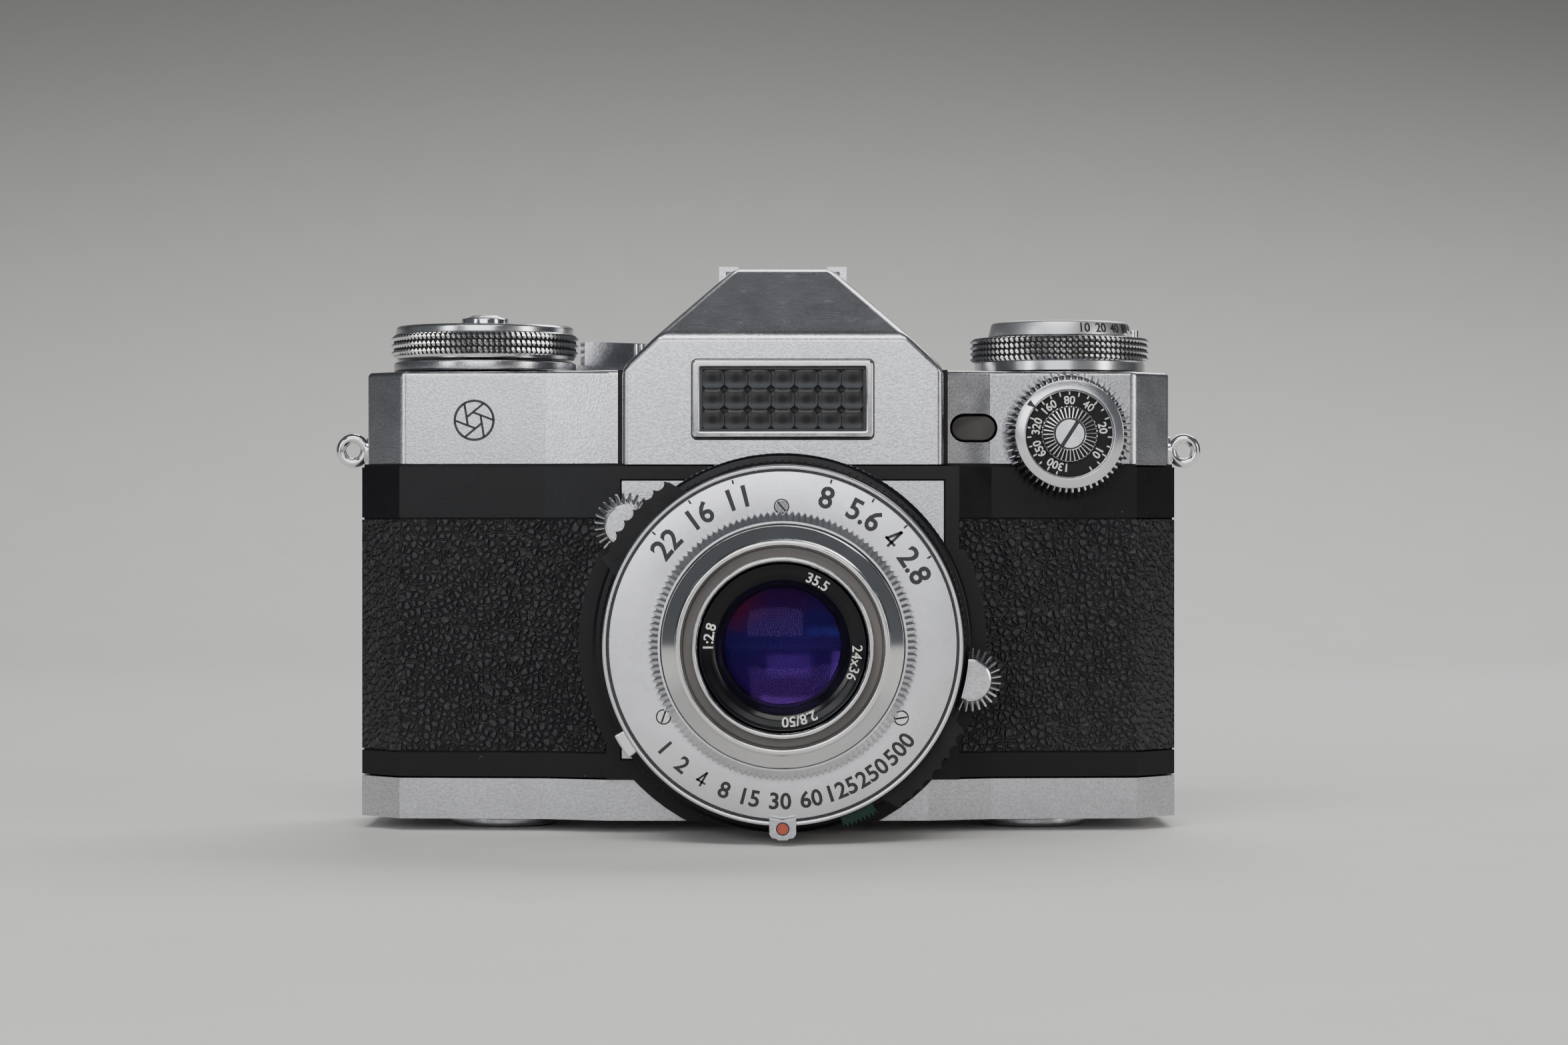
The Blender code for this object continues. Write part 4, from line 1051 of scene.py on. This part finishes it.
def make_meter_window():
    low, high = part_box("cell_window")
    left, right = low[0] / MM, high[0] / MM
    bottom, top = low[2] / MM, high[2] / MM
    front = -low[1] / MM
    columns, rows, fine = 7, 3, 12
    across, up = columns * fine, rows * fine
    points = []
    for j in range(up + 1):
        for i in range(across + 1):
            u, v = 2 * ((i / fine) % 1.0) - 1, 2 * ((j / fine) % 1.0) - 1
            edge = max(abs(u), abs(v), 0.62 * (abs(u) + abs(v)))
            dome = 1 - 0.4 * min(edge, 1.0) ** 4
            x, z = left + (right - left) * i / across, bottom + (top - bottom) * j / up
            points.append((x, -(front - 0.9 + 0.9 * dome), z))
    faces = []
    width = across + 1
    for j in range(up):
        for i in range(across):
            a = j * width + i
            faces.append((a, a + 1, a + width + 1, a + width))
    base = len(points)
    points += [(left, -3.8, bottom), (right, -3.8, bottom), (right, -3.8, top), (left, -3.8, top)]
    faces.append((base, base + 3, base + 2, base + 1))
    ring = list(range(width)) + [j * width + across for j in range(1, up + 1)]
    ring += [up * width + i for i in range(across - 1, -1, -1)] + [j * width for j in range(up - 1, 0, -1)]
    corners = {0: base, across: base + 1, up * width + across: base + 2, up * width: base + 3}
    current = base
    for k, here in enumerate(ring):
        after = ring[(k + 1) % len(ring)]
        current = corners.get(here, current)
        following = corners.get(after, current)
        faces.append((here, current, following, after) if following != current else (here, current, after))
    piece("honeycomb", [(points, faces)], HONEYCOMB, "cell_window", smooth=16)
    middle_z = (bottom + top) / 2
    outer = rounded_box(LX, middle_z, 14.6, 6.35, 0.8)
    inner = rounded_box(LX, middle_z, 13.35, 5.1, 0.35)
    piece("window_frame", [frame_band(outer, inner, 5.35, 6.6)], CHROME, "cell_window_frame", bevel=0.45)
    # Painted shadow: a dark band round the outside of the frame.
    shade = [frame_band(rounded_box(LX, middle_z, 14.82, 6.57, 0.95), outer, 5.0, 5.42)]
    piece("window_frame_shadow", shade, INK_AND_SHADE, "cell_window_frame", False)
    inside = rounded_box(LX, middle_z, 13.3, 5.1, 0.3)
    hole = rounded_box(LX, middle_z, 12.95, 4.8, 0.2)
    piece("window_gasket", [frame_band(inside, hole, 5.4, 6.1)], INK_AND_SHADE, "cell_window_frame", False)


def rounded_box(x, z, half_x, half_z, radius, count=6):
    out = []
    for sx, sz, start in ((1, 1, 0), (-1, 1, 90), (-1, -1, 180), (1, -1, 270)):
        out += arc(radius, start, start + 90, count, (x + sx * (half_x - radius), z + sz * (half_z - radius)))
    return out


def frame_band(outer, inner, low, high, place=flat_front):
    """A flat ring between two outlines that have as many points as each other."""
    count = len(outer)
    points = []
    for outline in (outer, inner):
        for level in (low, high):
            points += [place(a, b, level) for a, b in outline]
    faces = []
    for i in range(count):
        k = (i + 1) % count
        o0, o1, i0, i1 = 0, count, 2 * count, 3 * count
        faces.append((o0 + i, o0 + k, o1 + k, o1 + i))
        faces.append((i0 + i, i1 + i, i1 + k, i0 + k))
        faces.append((o1 + i, o1 + k, i1 + k, i1 + i))
        faces.append((o0 + i, i0 + i, i0 + k, o0 + k))
    return points, faces


# ---------------------------------------------------------------- body details


def make_body_details():
    for side, name in ((-1, "strap_lug_left"), (1, "strap_lug_right")):
        x, y, z = side * 69.6, DY, 62.3
        path = []
        for i in range(40):
            a = math.tau * i / 40
            path.append((x + 2.0 * math.cos(a), y, z + 2.05 * math.sin(a)))
        ring = tube(path, 0.84, 16, closed=True)
        stem = tube([(side * 66.2, y, z), (side * 66.9, y, z), (side * 67.5, y, z)], 1.3, 16)
        foot = tube([(side * 66.12, y, z), (side * 66.8, y, z), (side * 67.15, y, z)], 2.5, 24)
        piece(f"{name}_ring", [ring, stem, foot], CHROME, name)
    make_badge()
    make_seams()
    make_readout()
    make_base()
    make_eyepiece()


def make_seams():
    """Dark linings in the joints between the bands, so that no light shows through them, and painted shade in the
    grooves beside the prism housing.
    """
    outline, inner = inset(BODY_OUTLINE, 0.35), inset(BODY_OUTLINE, 0.95)
    keep = [i for i, p in enumerate(outline) if p[1] < 20]
    order = keep[-4:] + keep[:-4]
    strip, back = [outline[i] for i in order], [inner[i] for i in reversed(order)]
    end = 27.2
    path = [(strip[0][0], end)] + strip + [(strip[-1][0], end), (back[0][0], end)] + back + [(back[-1][0], end)]
    rings = [extrude(path, low, high, flat_up) for low, high in ((50.5, 51.4), (12.5, 13.4), (59.1, 59.9))]
    piece("seam_lining", rings, MATT, "upper_band", False)
    joints = []
    # Painted shade: dark strips in the grooves on either side of the prism housing.
    for side in (-1, 1):
        a, b = LX + side * 25.4, LX + side * 26.75
        joints.append(brick((min(a, b), -2.55, 59.75), (max(a, b), 11.5, 75.06)))
    piece("prism_groove_shade", joints, PAINTED_SHADE, "top_cover", False)


def make_badge():
    """A plain iris drawn in line on the left panel."""
    x, z, radius = -48.0, 67.0, 3.4
    lines = [frame_band(arc(radius, 0, 350, 35, (x, z)), arc(radius - 0.42, 0, 350, 35, (x, z)), 0, 0.06)]
    for k in range(6):
        a0 = math.radians(60 * k)
        a1 = a0 + math.radians(100)
        start = Vector((math.cos(a0), math.sin(a0))) * (radius - 0.15)
        end = Vector((math.cos(a1), math.sin(a1))) * 1.35
        across = (end - start).normalized().orthogonal() * 0.19
        outline = [start + across, start - across, end - across, end + across]
        lines.append(extrude([(x + p.x, z + p.y) for p in outline], 0, 0.06))
    lines = [([on_panel(p) for p in points], faces) for points, faces in lines]
    piece("panel_mark", lines, INK_AND_SHADE, "top_cover", False)


def on_panel(point):
    """Moves a point made at the origin plane onto the left front panel, which is slightly raked."""
    x, y, z = point
    inner, outer = Vector(BODY_OUTLINE[-1]), Vector(BODY_OUTLINE[-2])
    along = (x - inner.x) / (outer.x - inner.x)
    return (x, y + inner.y + (outer.y - inner.y) * along + PANEL_STEP, z)


def make_readout():
    x, _, z = middle("readout_window")
    outline = slot_outline(x, z, 7.2, 4.05)
    piece("readout_glass", [extrude(outline, -2.9, -1.3)], READOUT_GLASS, "readout_window", bevel=0.3)


def make_base():
    for node in ("lock_key_left", "lock_key_right"):
        x, y, _ = middle(node)
        at = upright(x, y)
        disc = soften([(0.0, 5.2), (2.5, 5.2), (2.5, 1.7), (8.7, 1.7), (9.0, 1.4), (9.0, 0.5), (8.7, 0.15), (7.6, 0.1),
                       (7.4, 0.5), (0.0, 0.5)], 0.12, False)
        piece(f"{node}_disc", [lathe(disc, at, 96, closed=False)], SATIN, node)
        handle = arc(7.0, 8, 172, 24) + [(-6.9, 0.5), (6.9, 0.5)]
        handle = [(x + a, y + b) for a, b in handle]
        piece(f"{node}_handle", [extrude(handle, 0.02, 0.75, flat_up)], CHROME, node, False, bevel=0.2)
    x, y, _ = middle("tripod_bush")
    thread = []
    for i in range(12):
        thread += [(2.75, 0.5 + 0.6 * i), (3.1, 0.8 + 0.6 * i)]
    bush = [(2.75, 7.6), (5.0, 7.6), (5.0, 1.7), (7.8, 1.7), (8.0, 1.5), (8.0, 0.3), (7.7, 0.0), (3.3, 0.0),
            (2.75, 0.4)]
    piece("bush_body", [lathe(bush + thread[:-1], upright(x, y), 64)], SATIN, "tripod_bush", smooth=25)


def make_eyepiece():
    low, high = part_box("eyepiece_frame")
    x, z = (low[0] + high[0]) / 2 / MM, (low[2] + high[2]) / 2 / MM
    outer = rounded_box(x, z, 10.5, 7.5, 2.0)
    inner = rounded_box(x, z, 8.4, 5.4, 1.2)
    piece("eyepiece_surround", [frame_band(outer, inner, 36.85, 39.0, flat_back)], BLACK, "eyepiece_frame", bevel=0.45)


make_lens()
make_top()
make_wheel()
make_meter_window()
make_cover()
make_housing()
make_body_details()

# ---------------------------------------------------------------- stage

# Across, forwards (minus) and up, in millimetres.
CAMERA_PLACE = (2.6, -602.75, 50.3)
camera_data = bpy.data.cameras.new("camera")
camera_data.lens = 85.0
camera_data.sensor_width = 36.0
camera_data.clip_start = 0.01
camera = bpy.data.objects.new("camera", camera_data)
bpy.context.scene.collection.objects.link(camera)
camera.location = [c * MM for c in CAMERA_PLACE]
camera.rotation_euler = (math.pi / 2, 0, 0)
bpy.context.scene.camera = camera


def area_light(name, place, aim, size, power, colour=(1, 1, 1)):
    data = bpy.data.lights.new(name, "AREA")
    data.shape = "RECTANGLE"
    data.size, data.size_y = size
    data.energy = power
    data.color = colour
    light = bpy.data.objects.new(name, data)
    bpy.context.scene.collection.objects.link(light)
    light.location = place
    light.rotation_euler = (Vector(aim) - Vector(place)).to_track_quat("-Z", "Y").to_euler()
    return light


HEART = (0.0, 0.0, 0.045)
area_light("front", (-0.13, -1.5, 0.40), HEART, (0.95, 0.5), 5.7, (0.97, 0.985, 1.0))
area_light("above", (-0.10, -0.95, 1.10), HEART, (1.1, 0.4), 10.5, (1.0, 0.99, 0.97))
area_light("left", (-0.95, -0.95, 0.42), HEART, (0.2, 0.7), 3.4, (0.95, 0.98, 1.0))
area_light("right", (1.20, -0.70, 0.32), HEART, (0.30, 0.6), 4.2, (1.0, 0.97, 0.93))
area_light("behind", (0.25, 0.70, 0.8), HEART, (0.9, 0.4), 6.5)


def sweep():
    """A pale floor that curves up behind the camera body."""
    floor_z, bend_y, bend = -0.00005, 0.7, 0.5
    section = [(-2.5, floor_z), (bend_y, floor_z)]
    for k in range(1, 17):
        turn = math.pi / 2 * k / 16
        section.append((bend_y + bend * math.sin(turn), bend - bend * math.cos(turn)))
    section.append((1.2, 2.5))
    points = [(x, y, z) for x in (-3.0, 3.0) for y, z in section]
    count = len(section)
    faces = [(i, i + count, i + count + 1, i + 1) for i in range(count - 1)]
    mesh = bpy.data.meshes.new("floor")
    mesh.from_pydata(points, [], faces)
    mesh.shade_smooth()
    floor = bpy.data.objects.new("floor", mesh)
    bpy.context.scene.collection.objects.link(floor)
    ground = Nodes("floor", (0.80, 0.79, 0.77), 0.75)
    pale = ground.mix(ground.noise(40.0, 4.0), (0.78, 0.77, 0.75), (0.84, 0.83, 0.81))
    height = ground.add("ShaderNodeSeparateXYZ", {0: ground.place}).outputs[2]
    shade = ground.remap(height, 0.0, 0.35, 0.0, 1.0, smooth=True)
    ground.link(ground.mix(shade, pale, (0.20, 0.20, 0.195)), "Base Color")
    mesh.materials.append(ground.material)


sweep()
world = bpy.data.worlds.new("studio")
bpy.context.scene.world = world
world.use_nodes = True
world.node_tree.nodes["Background"].inputs["Color"].default_value = (0.70, 0.75, 0.82, 1)
world.node_tree.nodes["Background"].inputs["Strength"].default_value = 0.14
